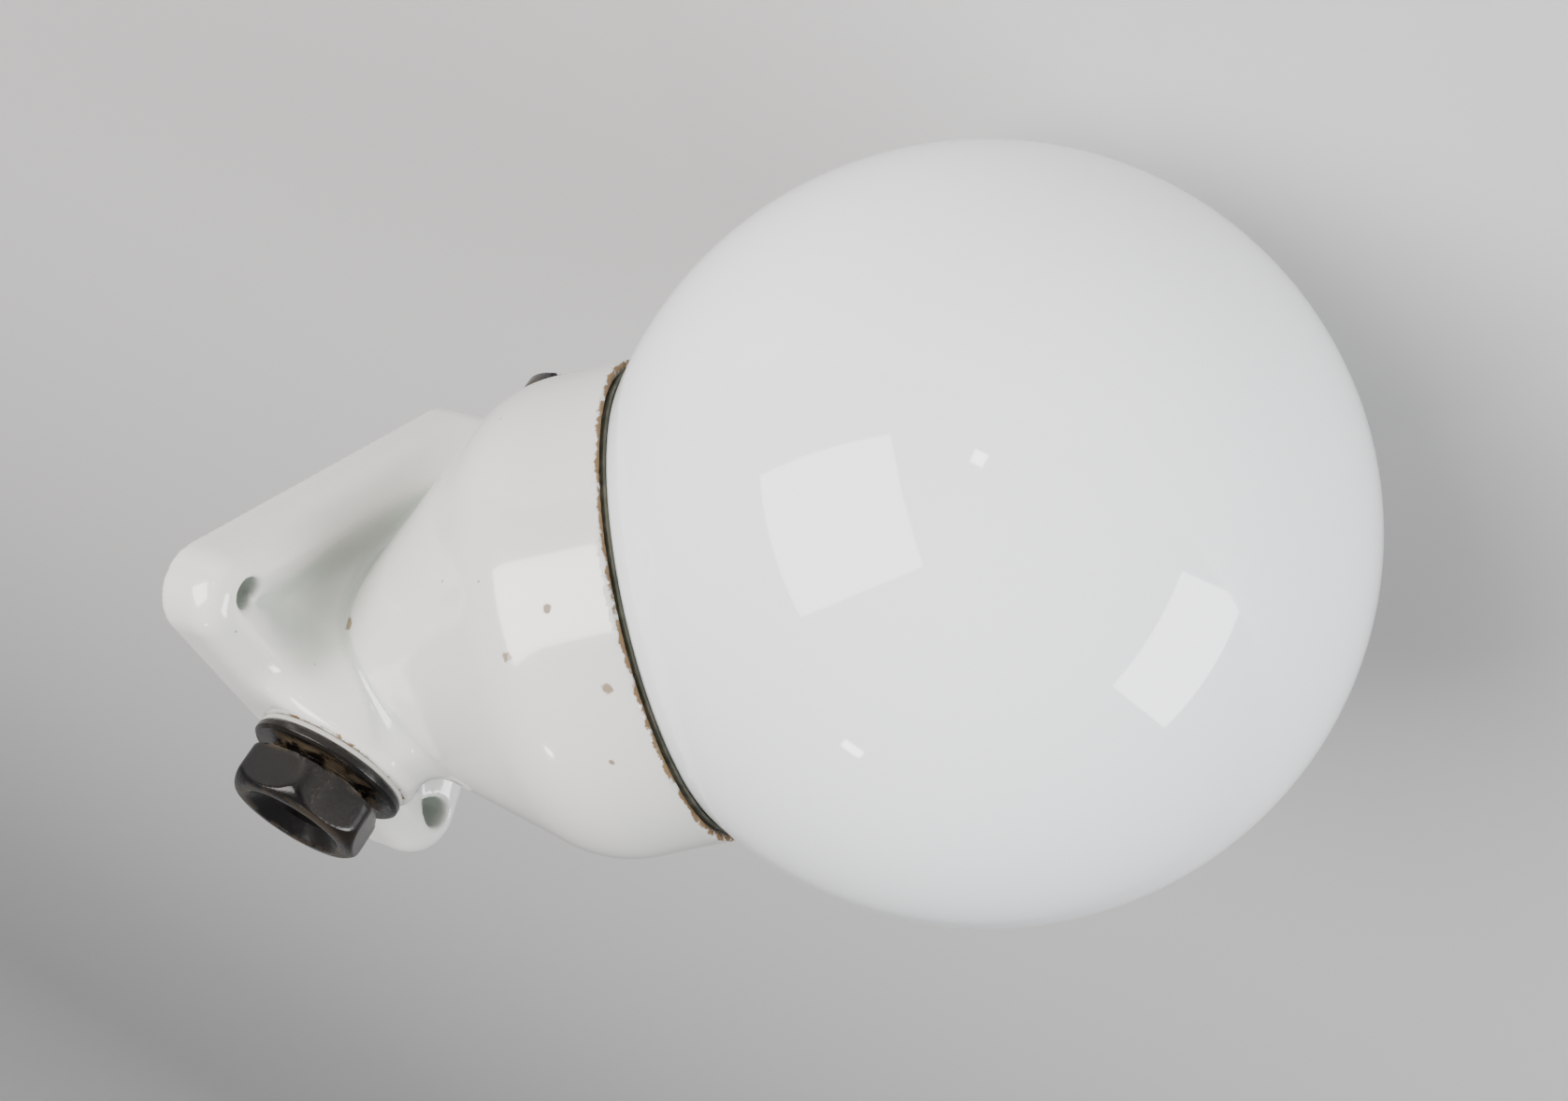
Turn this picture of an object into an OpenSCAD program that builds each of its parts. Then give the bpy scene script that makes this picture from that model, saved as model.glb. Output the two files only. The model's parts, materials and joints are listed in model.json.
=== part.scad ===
// Inclined porcelain wall lamp with a screwed opal globe, a cable gland and a blanking plug.
// Row frame: the wall is the plane Y = 0, the lamp stands out along -Y, and +Z is up.
// The origin lies on the wall, midway between the two wall screws.

/* [Wall base] */
// Height of the wall base
base_h = 80; // [76:1:84]
// Width of the base between its two upper corners, before they are rounded
base_top_w = 112; // [108:1:116]
// Width of the base along its lower edge, before the corners are rounded
base_low_w = 33; // [31:1:37]
// Depth of the base's rim, measured from the wall
base_d = 14; // [13:0.5:15]
// Radius of the rounded corners
corner_r = 10; // [9:0.5:11]
// Distance between the two wall screws
wall_hole_spacing = 82; // [80:1:84]
// Height of the wall screws above the base's centre
wall_hole_z = 29; // [28:0.5:30]
// Diameter of the wall screw holes
wall_hole_dia = 6.5; // [6:0.5:7]

/* [Neck] */
// Lean of the neck away from square to the wall
neck_tilt = 30; // [28:1:32]
// Outer diameter of the collar
collar_dia = 98; // [97:0.5:99]
// Length of the collar
collar_len = 25; // [24:1:26]
// Distance from the wall to the collar's rim, along the neck
rim_d = 84; // [83:0.5:85]
// Half angle of the cone below the collar
cone_angle = 36; // [35:1:37]
// Thickness of the porcelain
wall_t = 5.5; // [5:0.5:6]

/* [Globe] */
// Outer diameter of the glass globe
globe_dia = 150; // [149:1:150]
// Thickness of the glass
glass_t = 3; // [2.5:0.5:3.5]
// Diameter over the glass thread
globe_thread_dia = 84.5; // [84:0.5:85]
// Pitch of the glass thread
globe_pitch = 6; // [5.5:0.5:6]
// Length of the glass neck below the shoulder
globe_neck_len = 14; // [13:1:15]

/* [Cable gland] */
// Distance of the gland's axis from the wall
gland_y = 17; // [17:0.5:18]
// Diameter of the gland's thread in the porcelain
gland_thread_dia = 22.5; // [22:0.5:23]
// Diameter of the gland's flange
gland_flange_dia = 33; // [32:0.5:34]
// Width across the flats of the gland's nut
gland_nut_af = 27; // [26:1:28]
// Diameter of the cable that the gland takes
cable_dia = 12; // [10:1:13]

/* [Blanking plug] */
// Distance of the plug's axis from the wall
plug_y = 19; // [18.5:0.5:19]
// How far the plug's boss stands below the base
plug_boss_h = 10.5; // [10.5:0.5:12]
// Diameter of the plug's thread in the porcelain
plug_thread_dia = 20; // [18:1:20]
// Diameter of the plug's head
plug_head_dia = 25.6; // [25:0.1:25.6]

/* [Lampholder and bulb] */
// Diameter of the lamp cap's thread
cap_dia = 26.4; // [26.3:0.1:26.5]
// Pitch of the lamp cap's thread
cap_pitch = 3.62; // [3.6:0.01:3.64]
// Diameter of the bulb
bulb_dia = 60; // [58:1:60]
// Length of the bulb from its contact to its crown
bulb_len = 106; // [104:1:108]

/* [Hidden] */
$fn = 72;
eps = 0.01;
skin = 0.1;                       // gap between pieces that touch
play = 0.3;                       // gap between pieces that move on each other

collar_r = collar_dia / 2;
collar_d0 = rim_d - collar_len;   // where the cone meets the collar
cone_slope = tan(cone_angle);
cone_wall = wall_t / cos(cone_angle);
base_z = -wall_hole_z;            // centre of the base
upper_face_z = base_z + base_h / 2;
lower_edge_z = base_z - base_h / 2;
plug_face_z = lower_edge_z - plug_boss_h;
pocket_d = 5;                     // wiring pocket in the back of the base
pocket_edge = 7;                  // porcelain left round the pocket, above and below
duct_r = 12.5;
duct_end = 8;                     // porcelain left at each end of the duct
cone_foot_d = 14;                 // where the cone starts, inside the base
bend_len = 4;                     // bend between cone and collar
rim_bevel = [1.2, 2];             // radius and length that the rim's bevel takes off
seat_depth = [5.6, 2.2];          // bottom and top of the gasket's seat, below the rim
wireway_d = 20;                   // bottom of the wireway below the lampholder
wireway_r = 15;
neck_foot_z = 25;                 // neck's axis at the wall, above the base's centre
globe_r = globe_dia / 2;
globe_d = rim_d + 58.6;           // globe's centre along the neck
thread_r = globe_thread_dia / 2;
neck_r = thread_r - 1.9;          // outside of the glass neck between threads
socket_r = thread_r + 0.7;        // inside of the collar between threads
shoulder_d = globe_d - sqrt(globe_r * globe_r - neck_r * neck_r);
neck_end_d = shoulder_d - globe_neck_len;
seat_in_r = 43.4;                 // gasket's inner radius
seat_out_r = 46.8;                // gasket's outer radius
gasket_t = 2;
ridge_w = [3, 1.2];               // width of a globe thread's ridge at its root and its crest
glass_turns = 1.4;
socket_turns = 1.1;
ledge_d = 46;                     // shelf that carries the lampholder
ledge_t = 5;
ledge_r = 17;
screw_x = 24;                     // lampholder screws, from the neck's axis
holder_hole_r = 2.2;
holder_d = ledge_d + ledge_t;
holder_flange = [31, 6];          // radius and height
barrel = [19.5, 43];              // radius, and height above the holder's back
cavity_r = 14.8;
strip = [6, 0.8];                 // width and thickness of the contact strips
terminal_y = 27;
tip_d = holder_d + 15;            // where the bulb's contact ends
shell_d0 = tip_d + 3;
shell_len = 24;

plug_boss_r = plug_thread_dia / 2 + 3;
plug_head_h = 4.5;
plug_shank_h = 7;
plug_slot = [2, 2];               // width and depth of the slot in the head
gland_gasket_t = 1;
gland_flange_t = 2.3;
gland_spigot_h = 7;               // how far the gland reaches into the porcelain
gland_neck_dia = gland_thread_dia - 0.5;
gland_neck_h = 12;                // top of the gland's neck above the porcelain
gland_seat_h = 4;                 // bottom of the seal's pocket
gland_seal_dia = gland_thread_dia - 4.5;
gland_seal_h = 5;
gland_ring_t = 1;
gland_nut_z = 5.8;                // back of the nut above the porcelain
gland_nut_h = 9.2;
gland_nut_bevel = [3.4, 3.7];     // radius and height that the mouth's bevel takes off a corner
gland_mouth_r = 10.3;
gland_funnel_h = 3;               // depth of the funnel in the nut's mouth

// Radius of the cone's outside at a distance along the neck
function cone_r(d) = collar_r - (collar_d0 - d) * cone_slope;
// Distance along the neck of the globe's outside at a radius, moved out by a gap
function globe_at(r, gap = 0) = globe_d - sqrt(pow(globe_r + gap, 2) - r * r);
// Points of an arc in a profile
function arc(c, r, a0, a1, n) = [for (i = [0:n]) let (a = a0 + (a1 - a0) * i / n)
    [c[0] + r * cos(a), c[1] + r * sin(a)]];

// Puts a shape drawn with the wall as its floor into the row frame
module on_wall() rotate([90, 0, 0]) translate([0, base_z, 0]) children();
// Puts a shape drawn about +Z onto the neck's axis
module on_neck() on_wall() translate([0, neck_foot_z, 0]) rotate([neck_tilt, 0, 0]) children();
// Puts a shape drawn about +Z, with 0 at the porcelain's upper face, onto the gland's axis
module on_gland() translate([0, -gland_y, upper_face_z]) children();
// Puts a shape drawn about +Z, with 0 at the face of the lower boss, onto the plug's axis
module on_plug() translate([0, -plug_y, plug_face_z]) rotate([180, 0, 0]) children();

// A ridge of trapezoid section that winds up +Z; root_r and crest_r may lie either way round
module helical_ridge(root_r, crest_r, root_w, crest_w, pitch, turns, steps = 30) {
    count = round(turns * steps);
    section = [[root_r, -root_w / 2], [crest_r, -crest_w / 2], [crest_r, crest_w / 2], [root_r, root_w / 2]];
    points = [for (i = [0:count], p = section) let (a = 360 * i / steps)
        [p[0] * cos(a), p[0] * sin(a), p[1] + pitch * i / steps]];
    sides = [for (i = [0:count - 1], k = [0:3]) let (a = 4 * i + k, b = 4 * i + (k + 1) % 4)
        [a, b, b + 4, a + 4]];
    faces = concat([[3, 2, 1, 0]], sides, [[for (k = [0:3]) 4 * count + k]]);
    outward = crest_r > root_r;
    polyhedron(points, outward ? faces : [for (f = faces) [for (k = [len(f) - 1:-1:0]) f[k]]]);
}

// Rounded outline of the base: each corner is a centre and the two angles of its arc
side_lean = atan((base_top_w - base_low_w) / 2 / base_h);
corner_reach = corner_r / cos(side_lean);
corner_drift = corner_r * tan(side_lean);
top_c = [base_top_w / 2 - corner_reach - corner_drift, base_h / 2 - corner_r];
low_c = [base_low_w / 2 - corner_reach + corner_drift, -base_h / 2 + corner_r];
right_half = concat(arc(low_c, corner_r, -90, -side_lean, 8), arc(top_c, corner_r, -side_lean, 90, 12));
left_half = [for (i = [len(right_half) - 1:-1:0]) [-right_half[i][0], right_half[i][1]]];
base_outline = concat(right_half, left_half);

// The duct that joins the two cable entries, seen along it, with the wall along the bottom
module duct_section(r) intersection() {
    union() {
        circle(r);
        translate([-r + 1, -gland_y]) square([2 * r - 2, gland_y]);
    }
    translate([-2 * r, -gland_y]) square([4 * r, 3 * r]);
}

module duct(r, inset) translate([0, -gland_y, lower_edge_z + inset])
    linear_extrude(base_h - 2 * inset) mirror([0, 1]) duct_section(r);

module porcelain_shell() {
    on_wall() linear_extrude(base_d) polygon(base_outline);
    duct(gland_flange_dia / 2 + 1, 0);
    on_plug() translate([0, 0, -plug_boss_h - duct_end])
        cylinder(h = plug_boss_h + duct_end, r = plug_boss_r);
    on_neck() rotate_extrude() polygon([
        [0, cone_foot_d], [cone_r(cone_foot_d), cone_foot_d],
        [cone_r(collar_d0 - bend_len), collar_d0 - bend_len], [collar_r, collar_d0 + 1],
        [collar_r, rim_d - rim_bevel[1]], [collar_r - rim_bevel[0], rim_d], [0, rim_d]]);
}

module porcelain_hollow() {
    // Room for the globe's neck, its seat and the lampholder
    on_neck() rotate_extrude() polygon([
        [0, holder_d], [cone_r(holder_d) - cone_wall, holder_d], [socket_r, collar_d0 + 3],
        [socket_r, rim_d - seat_depth[0]], [seat_out_r + 2 * play, rim_d - seat_depth[1]],
        [seat_out_r + 2 * play, rim_d + 1], [0, rim_d + 1]]);
    on_neck() translate([0, 0, wireway_d]) cylinder(h = ledge_d, r = ledge_r);
    on_neck() rotate_extrude() polygon([
        [0, wireway_d], [wireway_r, wireway_d], [cone_r(ledge_d) - cone_wall, ledge_d], [0, ledge_d]]);
    on_neck() for (x = [-screw_x, screw_x]) translate([x, 0, ledge_d - 1])
        cylinder(h = ledge_t + 2, r = holder_hole_r);
    // Wiring space, open to the wall, with the duct between the two entries
    on_wall() translate([0, 0, -1]) linear_extrude(pocket_d + 1) polygon([
        [30, base_h / 2 - pocket_edge], [-30, base_h / 2 - pocket_edge],
        [-13.5, -base_h / 2 + pocket_edge], [13.5, -base_h / 2 + pocket_edge]]);
    translate([0, eps, 0]) duct(duct_r, duct_end);
    on_gland() translate([0, 0, -duct_end - 1]) cylinder(h = duct_end + 2, d = gland_thread_dia);
    on_plug() translate([0, 0, -plug_boss_h - duct_end - 1])
        cylinder(h = plug_boss_h + duct_end + 2, d = plug_thread_dia);
    on_wall() for (x = [-1, 1]) translate([x * wall_hole_spacing / 2, wall_hole_z, -1])
        cylinder(h = base_d + 2, d = wall_hole_dia);
}

module porcelain_body() color("ivory") {
    difference() {
        porcelain_shell();
        porcelain_hollow();
    }
    on_neck() translate([0, 0, neck_end_d + 5.8]) rotate([0, 0, 90])
        helical_ridge(socket_r + 1, thread_r - 0.9, ridge_w[0], ridge_w[1], globe_pitch, socket_turns);
}

module globe_gasket() color("darkolivegreen") on_neck() rotate_extrude() polygon(concat(
    [for (i = [0:4]) let (r = seat_in_r + (seat_out_r - seat_in_r) * i / 4) [r, globe_at(r, play)]],
    [for (i = [4:-1:0]) let (r = seat_in_r + (seat_out_r - seat_in_r) * i / 4)
        [r, globe_at(r, play) - gasket_t]]));

module glass_globe() color("white") on_neck() {
    inner_r = globe_r - glass_t;
    bore_r = neck_r - glass_t - 0.5;
    a_out = acos((shoulder_d - globe_d) / globe_r);
    a_in = acos(-sqrt(inner_r * inner_r - bore_r * bore_r) / inner_r);
    translate([0, 0, globe_d]) rotate_extrude($fn = 96) polygon(concat(
        [[bore_r, neck_end_d - globe_d], [neck_r, neck_end_d - globe_d]],
        [for (i = [0:48]) let (a = a_out * (1 - i / 48)) [globe_r * sin(a), globe_r * cos(a)]],
        [for (i = [0:48]) let (a = a_in * i / 48) [inner_r * sin(a), inner_r * cos(a)]]));
    translate([0, 0, neck_end_d + 2.4])
        helical_ridge(neck_r - 1, thread_r, ridge_w[0], ridge_w[1], globe_pitch, glass_turns);
}

module lampholder_body() color("snow") on_neck() difference() {
    union() {
        translate([0, 0, holder_d + skin]) cylinder(h = holder_flange[1], r = holder_flange[0]);
        translate([0, 0, holder_d + skin]) cylinder(h = barrel[1], r = barrel[0]);
    }
    translate([0, 0, tip_d - 3]) cylinder(h = barrel[1], r = cavity_r);
    for (x = [-screw_x, screw_x]) translate([x, 0, holder_d - 1])
        cylinder(h = holder_flange[1] + 3, r = holder_hole_r);
    for (y = [-1, 1]) translate([-4, y > 0 ? 12 : -22, tip_d - 6]) cube([8, 10, 6]);
}

// Corrugated thread surface as a closed tube; inner_r of 0 makes it a solid plug
module thread_tube(r, inner_r, amplitude, pitch, h, a_steps = 24, z_steps = 6) {
    rows = round(h / pitch * z_steps);
    function wave(i, j) = amplitude * cos(360 * (j / z_steps - i / a_steps));
    outer = [for (j = [0:rows], i = [0:a_steps - 1]) let (a = 360 * i / a_steps, q = r + wave(i, j))
        [q * cos(a), q * sin(a), h * j / rows]];
    inner = [for (j = [0:rows], i = [0:a_steps - 1]) let (a = 360 * i / a_steps, q = inner_r + wave(i, j))
        [q * cos(a), q * sin(a), h * j / rows]];
    n = a_steps * (rows + 1);
    function at(i, j) = j * a_steps + i % a_steps;
    outer_faces = [for (j = [0:rows - 1], i = [0:a_steps - 1]) each [
        [at(i, j), at(i, j + 1), at(i + 1, j + 1)], [at(i, j), at(i + 1, j + 1), at(i + 1, j)]]];
    if (inner_r == 0) {
        low = n;
        high = n + 1;
        polyhedron(concat(outer, [[0, 0, 0], [0, 0, h]]), concat(outer_faces,
            [for (i = [0:a_steps - 1]) [low, at(i, 0), at(i + 1, 0)]],
            [for (i = [0:a_steps - 1]) [high, at(i + 1, rows), at(i, rows)]]));
    } else {
        polyhedron(concat(outer, inner), concat(outer_faces,
            [for (f = outer_faces) [f[2] + n, f[1] + n, f[0] + n]],
            [for (i = [0:a_steps - 1]) [at(i, 0) + n, at(i, 0), at(i + 1, 0), at(i + 1, 0) + n]],
            [for (i = [0:a_steps - 1])
                [at(i + 1, rows) + n, at(i + 1, rows), at(i, rows), at(i, rows) + n]]));
    }
}

module screw_shell() color("goldenrod") on_neck() translate([0, 0, shell_d0])
    thread_tube(cap_dia / 2 + 0.8, cap_dia / 2 - 0.05, 0.5, cap_pitch, shell_len);

module centre_contact() color("goldenrod") on_neck() {
    translate([-strip[0] / 2, -1, tip_d - 2.9]) cube([strip[0], 16.9, strip[1]]);
    translate([-strip[0] / 2, -3, tip_d - 1]) cube([strip[0], 8, strip[1]]);
    translate([-strip[0] / 2, 4.2, tip_d - 2.9]) cube([strip[0], strip[1], 2.7]);
}

module shell_contact() color("goldenrod") on_neck() {
    translate([-strip[0] / 2, -15.9, tip_d - 2.9]) cube([strip[0], 6, strip[1]]);
    translate([-strip[0] / 2, -14.2, tip_d - 2.5]) cube([strip[0], strip[1], 5.4]);
}

// Brass block with a wire hole and a strap that reaches through the holder's wall
module terminal(side) color("gold") on_neck() rotate([0, 0, side > 0 ? 0 : 180]) difference() {
    union() {
        translate([-4.5, terminal_y - 5.5, holder_d + holder_flange[1] + 2 * skin]) cube([9, 9, 8]);
        translate([-strip[0] / 2, 16, tip_d - 2.9]) cube([strip[0], 6, strip[1]]);
    }
    translate([-6, terminal_y, holder_d + 10]) rotate([0, 90, 0]) cylinder(h = 12, r = 1.6);
    translate([0, terminal_y, holder_d + 11]) cylinder(h = 6, r = 1.55);
}

module terminal_screws() color("silver") on_neck() for (y = [-terminal_y, terminal_y])
    translate([0, y, holder_d + 11.6]) {
    cylinder(h = 3, r = 1.5);
    difference() {
        translate([0, 0, 2.6 + 2 * skin]) cylinder(h = 2, r = 2.9);
        translate([-4, -0.4, 4]) cube([8, 0.8, 2]);
    }
}

module lampholder_screws() color("silver") on_neck() for (x = [-screw_x, screw_x])
    translate([x, 0, holder_d]) difference() {
        union() {
            translate([0, 0, -9]) cylinder(h = 15.2, r = 1.95);
            translate([0, 0, 6 + 2 * skin]) cylinder(h = 2.6, r = 3.4);
        }
        translate([-5, -0.5, 7.6]) cube([10, 1, 3]);
    }

module lampholder_nuts() color("silver") on_neck() for (x = [-screw_x, screw_x])
    translate([x, 0, ledge_d - 3.2 - skin]) difference() {
        cylinder(h = 3.2, d = 7 / cos(30), $fn = 6);
        translate([0, 0, -1]) cylinder(h = 6, r = 2.0);
    }

// The bulb is drawn about its own axis with 0 at its contact
module on_bulb() on_neck() translate([0, 0, tip_d]) children();

module bulb_tip() color("silver") on_bulb() rotate_extrude() polygon(
    [[0, 0.1], [3, 0.1], [4.4, 0.9], [4.4, 2.2], [0, 2.2]]);

module bulb_insulator() color("black") on_bulb() rotate_extrude() polygon(
    [[0, 2.3], [4.8, 2.3], [9.5, 6], [0, 6]]);

module bulb_cap() color("silver") on_bulb() {
    translate([0, 0, 6.1]) rotate_extrude() polygon([[0, 0], [9.6, 0], [11.6, 1.8], [11.6, 4.4], [0, 4.4]]);
    translate([0, 0, shell_d0 - tip_d + cap_pitch * 2])
        thread_tube(cap_dia / 2 - 0.75, 0, 0.5, cap_pitch, cap_pitch * 4);
    translate([0, 0, 24]) cylinder(h = 2, r = 12.2);
}

module bulb_glass() color([1, 1, 1, 0.4]) on_bulb() {
    r = bulb_dia / 2;
    c = bulb_len - r;
    t = 0.9;
    a1 = 125;
    neck = [[12, 26.2], [12.6, 31]];
    outer = [for (i = [0:32]) let (a = a1 * (1 - i / 32)) [r * sin(a), c + r * cos(a)]];
    inner = [for (i = [0:32]) let (a = a1 * i / 32) [(r - t) * sin(a), c + (r - t) * cos(a)]];
    rotate_extrude() polygon(concat(neck, outer, inner, [[12.6 - t, 31], [12 - t, 26.2]]));
}

module bulb_stem() color([1, 1, 1, 0.5]) on_bulb() rotate_extrude() polygon(
    [[0, 26.2], [9, 26.2], [4, 36], [2.2, 50], [2.2, 58], [0, 59]]);

module bulb_filament() color("dimgray") on_bulb() {
    for (s = [-1, 1]) translate([s * 3, 0, 40]) rotate([0, s * 22, 0]) cylinder(h = 40, r = 0.35, $fn = 16);
    translate([-18, 0, 77]) rotate([0, 90, 0]) cylinder(h = 36, r = 0.4, $fn = 16);
}

// The gland's parts are drawn about +Z with 0 at the face of the porcelain
module gland_gasket() color("dimgray") on_gland() translate([0, 0, skin]) difference() {
    cylinder(h = gland_gasket_t, d = gland_flange_dia - 0.6);
    translate([0, 0, -1]) cylinder(h = 3, d = gland_thread_dia + 0.3);
}

module gland_body() color([0.1, 0.09, 0.08]) on_gland() difference() {
    union() {
        translate([0, 0, -gland_spigot_h]) cylinder(h = gland_spigot_h + 2, d = gland_thread_dia - play);
        translate([0, 0, gland_gasket_t + 2 * skin]) cylinder(h = gland_flange_t, d = gland_flange_dia);
        translate([0, 0, 2]) cylinder(h = gland_neck_h - 2, d = gland_neck_dia);
    }
    translate([0, 0, -gland_spigot_h - 1]) cylinder(h = 30, d = cable_dia + 2);
    translate([0, 0, gland_seat_h]) cylinder(h = gland_neck_h, d = gland_seal_dia);
}

module gland_seal() color("dimgray") on_gland() translate([0, 0, gland_seat_h + skin]) difference() {
    cylinder(h = gland_seal_h, d = gland_seal_dia - 2 * skin);
    translate([0, 0, -1]) cylinder(h = gland_seal_h + 2, d = cable_dia);
}

module gland_slip_ring() color("silver") on_gland()
    translate([0, 0, gland_seat_h + skin + gland_seal_h + skin]) difference() {
        cylinder(h = gland_ring_t, d = gland_seal_dia - 2 * play);
        translate([0, 0, -1]) cylinder(h = 3, d = cable_dia + 1);
    }

module gland_nut() color([0.08, 0.07, 0.07]) on_gland() {
    ring_top = gland_seat_h + gland_seal_h + gland_ring_t + 2 * skin;
    corner = gland_nut_af / 2 / cos(30);
    mouth_z = gland_nut_z + gland_nut_h;
    thread_in_r = gland_neck_dia / 2 + play;
    passage_r = cable_dia / 2 + 1.5;
    difference() {
        intersection() {
            translate([0, 0, gland_nut_z]) cylinder(h = gland_nut_h, r = corner, $fn = 6);
            translate([0, 0, gland_nut_z]) rotate_extrude() polygon([
                [0, 0], [corner - 0.9, 0], [corner + skin, 1],
                [corner + skin, gland_nut_h - gland_nut_bevel[1]],
                [corner - gland_nut_bevel[0], gland_nut_h], [0, gland_nut_h]]);
        }
        rotate_extrude() polygon([
            [0, 0], [thread_in_r, 0], [thread_in_r, gland_neck_h + play],
            [gland_seal_dia / 2 - play, gland_neck_h + play], [gland_seal_dia / 2 - play, ring_top + play],
            [passage_r, ring_top + play], [passage_r, mouth_z - gland_funnel_h],
            [gland_mouth_r, mouth_z + eps], [0, mouth_z + eps]]);
    }
}

// The plug's parts are drawn about +Z with 0 at the face of the boss
module plug_washer() color("dimgray") on_plug() translate([0, 0, skin]) difference() {
    cylinder(h = gland_gasket_t, d = plug_head_dia - 0.4);
    translate([0, 0, -1]) cylinder(h = 3, d = plug_thread_dia + 0.3);
}

module blanking_plug() color([0.1, 0.09, 0.08]) on_plug() difference() {
    head_z = gland_gasket_t + 2 * skin;
    head_r = plug_head_dia / 2;
    shank_r = plug_thread_dia / 2 - play;
    rotate_extrude() polygon([
        [0, -plug_shank_h], [shank_r, -plug_shank_h], [shank_r, head_z],
        [head_r, head_z], [head_r, head_z + plug_head_h - 1], [head_r - 1, head_z + plug_head_h],
        [0, head_z + plug_head_h]]);
    translate([-head_r - 1, -plug_slot[0] / 2, head_z + plug_head_h - plug_slot[1]])
        cube([2 * head_r + 2, plug_slot[0], plug_slot[1] + 1]);
}

porcelain_body();
globe_gasket();
glass_globe();
lampholder_body();
screw_shell();
centre_contact();
shell_contact();
terminal(1);  // live_terminal
terminal(-1);  // neutral_terminal
terminal_screws();
lampholder_screws();
lampholder_nuts();
bulb_tip();
bulb_insulator();
bulb_cap();
bulb_glass();
bulb_stem();
bulb_filament();
gland_gasket();
gland_body();
gland_seal();
gland_slip_ring();
gland_nut();
plug_washer();
blanking_plug();
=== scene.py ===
"""Inclined porcelain wall lamp with an opal globe, lampholder, bulb, cable gland and blanking plug.

The packed model is the frame: bodies, joints and hidden working parts. The pieces built here stand
for the porcelain, the glass and the mouldings that show. Sizes are in millimetres until a mesh is
made, and a mesh is in metres in the row frame: the wall is Y = 0, the lamp leans out along -Y.
"""

from __future__ import annotations

import json
import logging
import math
from dataclasses import dataclass
from enum import Enum
from typing import Callable, Iterable, Optional, Sequence, Union

import bmesh
import bpy
import numpy as np
from mathutils import Matrix, Vector

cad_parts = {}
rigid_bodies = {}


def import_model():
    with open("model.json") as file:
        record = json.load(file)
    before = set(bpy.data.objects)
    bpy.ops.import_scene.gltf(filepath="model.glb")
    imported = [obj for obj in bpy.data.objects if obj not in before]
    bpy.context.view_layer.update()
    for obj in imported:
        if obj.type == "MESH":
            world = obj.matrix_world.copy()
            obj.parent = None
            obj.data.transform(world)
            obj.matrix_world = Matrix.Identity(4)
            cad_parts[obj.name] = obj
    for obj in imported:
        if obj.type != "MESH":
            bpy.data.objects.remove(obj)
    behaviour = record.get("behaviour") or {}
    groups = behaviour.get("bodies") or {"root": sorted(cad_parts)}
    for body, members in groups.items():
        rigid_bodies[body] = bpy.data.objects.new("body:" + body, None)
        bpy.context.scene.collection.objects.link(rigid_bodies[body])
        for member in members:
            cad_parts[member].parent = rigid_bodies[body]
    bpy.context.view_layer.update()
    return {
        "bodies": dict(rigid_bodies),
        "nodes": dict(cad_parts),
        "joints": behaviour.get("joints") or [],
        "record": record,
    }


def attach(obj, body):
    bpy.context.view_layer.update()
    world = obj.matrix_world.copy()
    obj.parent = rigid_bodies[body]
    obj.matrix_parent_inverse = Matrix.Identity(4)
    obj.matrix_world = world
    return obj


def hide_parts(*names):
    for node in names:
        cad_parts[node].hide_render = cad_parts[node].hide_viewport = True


LOG = logging.getLogger("wall_lamp")
MM = 0.001
Colour = tuple[float, float, float]
Point = tuple[float, float, float]
Field = Callable[[np.ndarray], np.ndarray]
Shape = Callable[[np.ndarray, np.ndarray, np.ndarray], np.ndarray]
Sizes = dict[str, Union[int, float]]


# ---------------------------------------------------------------- node graphs


def operator(operation: str, meaning: str, swapped: bool = False) -> Callable[..., "Wire"]:
    """Makes a method of Wire that adds one Math node.

    Args:
        operation: Name of the Math node's operation.
        meaning: What the method gives.
        swapped: Whether the wire itself is the second input.

    Returns:
        The method.
    """

    def method(self: "Wire", *others: "Scalar") -> "Wire":
        """Adds the node and gives its result."""
        values = (*others, self) if swapped else (self, *others)
        node = self.graph.add("ShaderNodeMath", {"operation": operation}, dict(enumerate(values)))
        return Wire(self.graph, node.outputs[0])

    method.__doc__ = meaning
    return method


class Wire:
    """A node socket that can be used in arithmetic, so shader maths reads as an expression."""

    def __init__(self, graph: "Graph", socket: bpy.types.NodeSocket) -> None:
        """Keeps the socket and the graph that new Math nodes go into."""
        self.graph = graph
        self.socket = socket

    __add__ = operator("ADD", "self + other.")
    __radd__ = operator("ADD", "other + self.", swapped=True)
    __sub__ = operator("SUBTRACT", "self - other.")
    __rsub__ = operator("SUBTRACT", "other - self.", swapped=True)
    __mul__ = operator("MULTIPLY", "self * other.")
    __rmul__ = operator("MULTIPLY", "other * self.", swapped=True)
    __truediv__ = operator("DIVIDE", "self / other.")
    __pow__ = operator("POWER", "self ** other.")
    __abs__ = operator("ABSOLUTE", "abs(self).")
    most = operator("MAXIMUM", "The larger of the two.")
    least = operator("MINIMUM", "The smaller of the two.")
    sign = operator("SIGN", "-1, 0 or 1.")
    root = operator("SQRT", "Square root.")
    sin = operator("SINE", "Sine of an angle in radians.")
    cos = operator("COSINE", "Cosine of an angle in radians.")
    arcsin = operator("ARCSINE", "Angle in radians of a sine.")

    def step(self, low: float, high: float) -> "Wire":
        """A smooth step from 0 at low to 1 at high; low may be the larger one.

        Args:
            low: Value at which the step is 0.
            high: Value at which the step is 1.

        Returns:
            The step.
        """
        ends = (low, high) if low < high else (high, low)
        settings = {"interpolation_type": "SMOOTHSTEP"}
        values = {"Value": self, "From Min": ends[0], "From Max": ends[1]}
        node = self.graph.add("ShaderNodeMapRange", settings, values)
        result = Wire(self.graph, node.outputs["Result"])
        return result if low < high else 1.0 - result


Scalar = Union[Wire, float, int]


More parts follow.
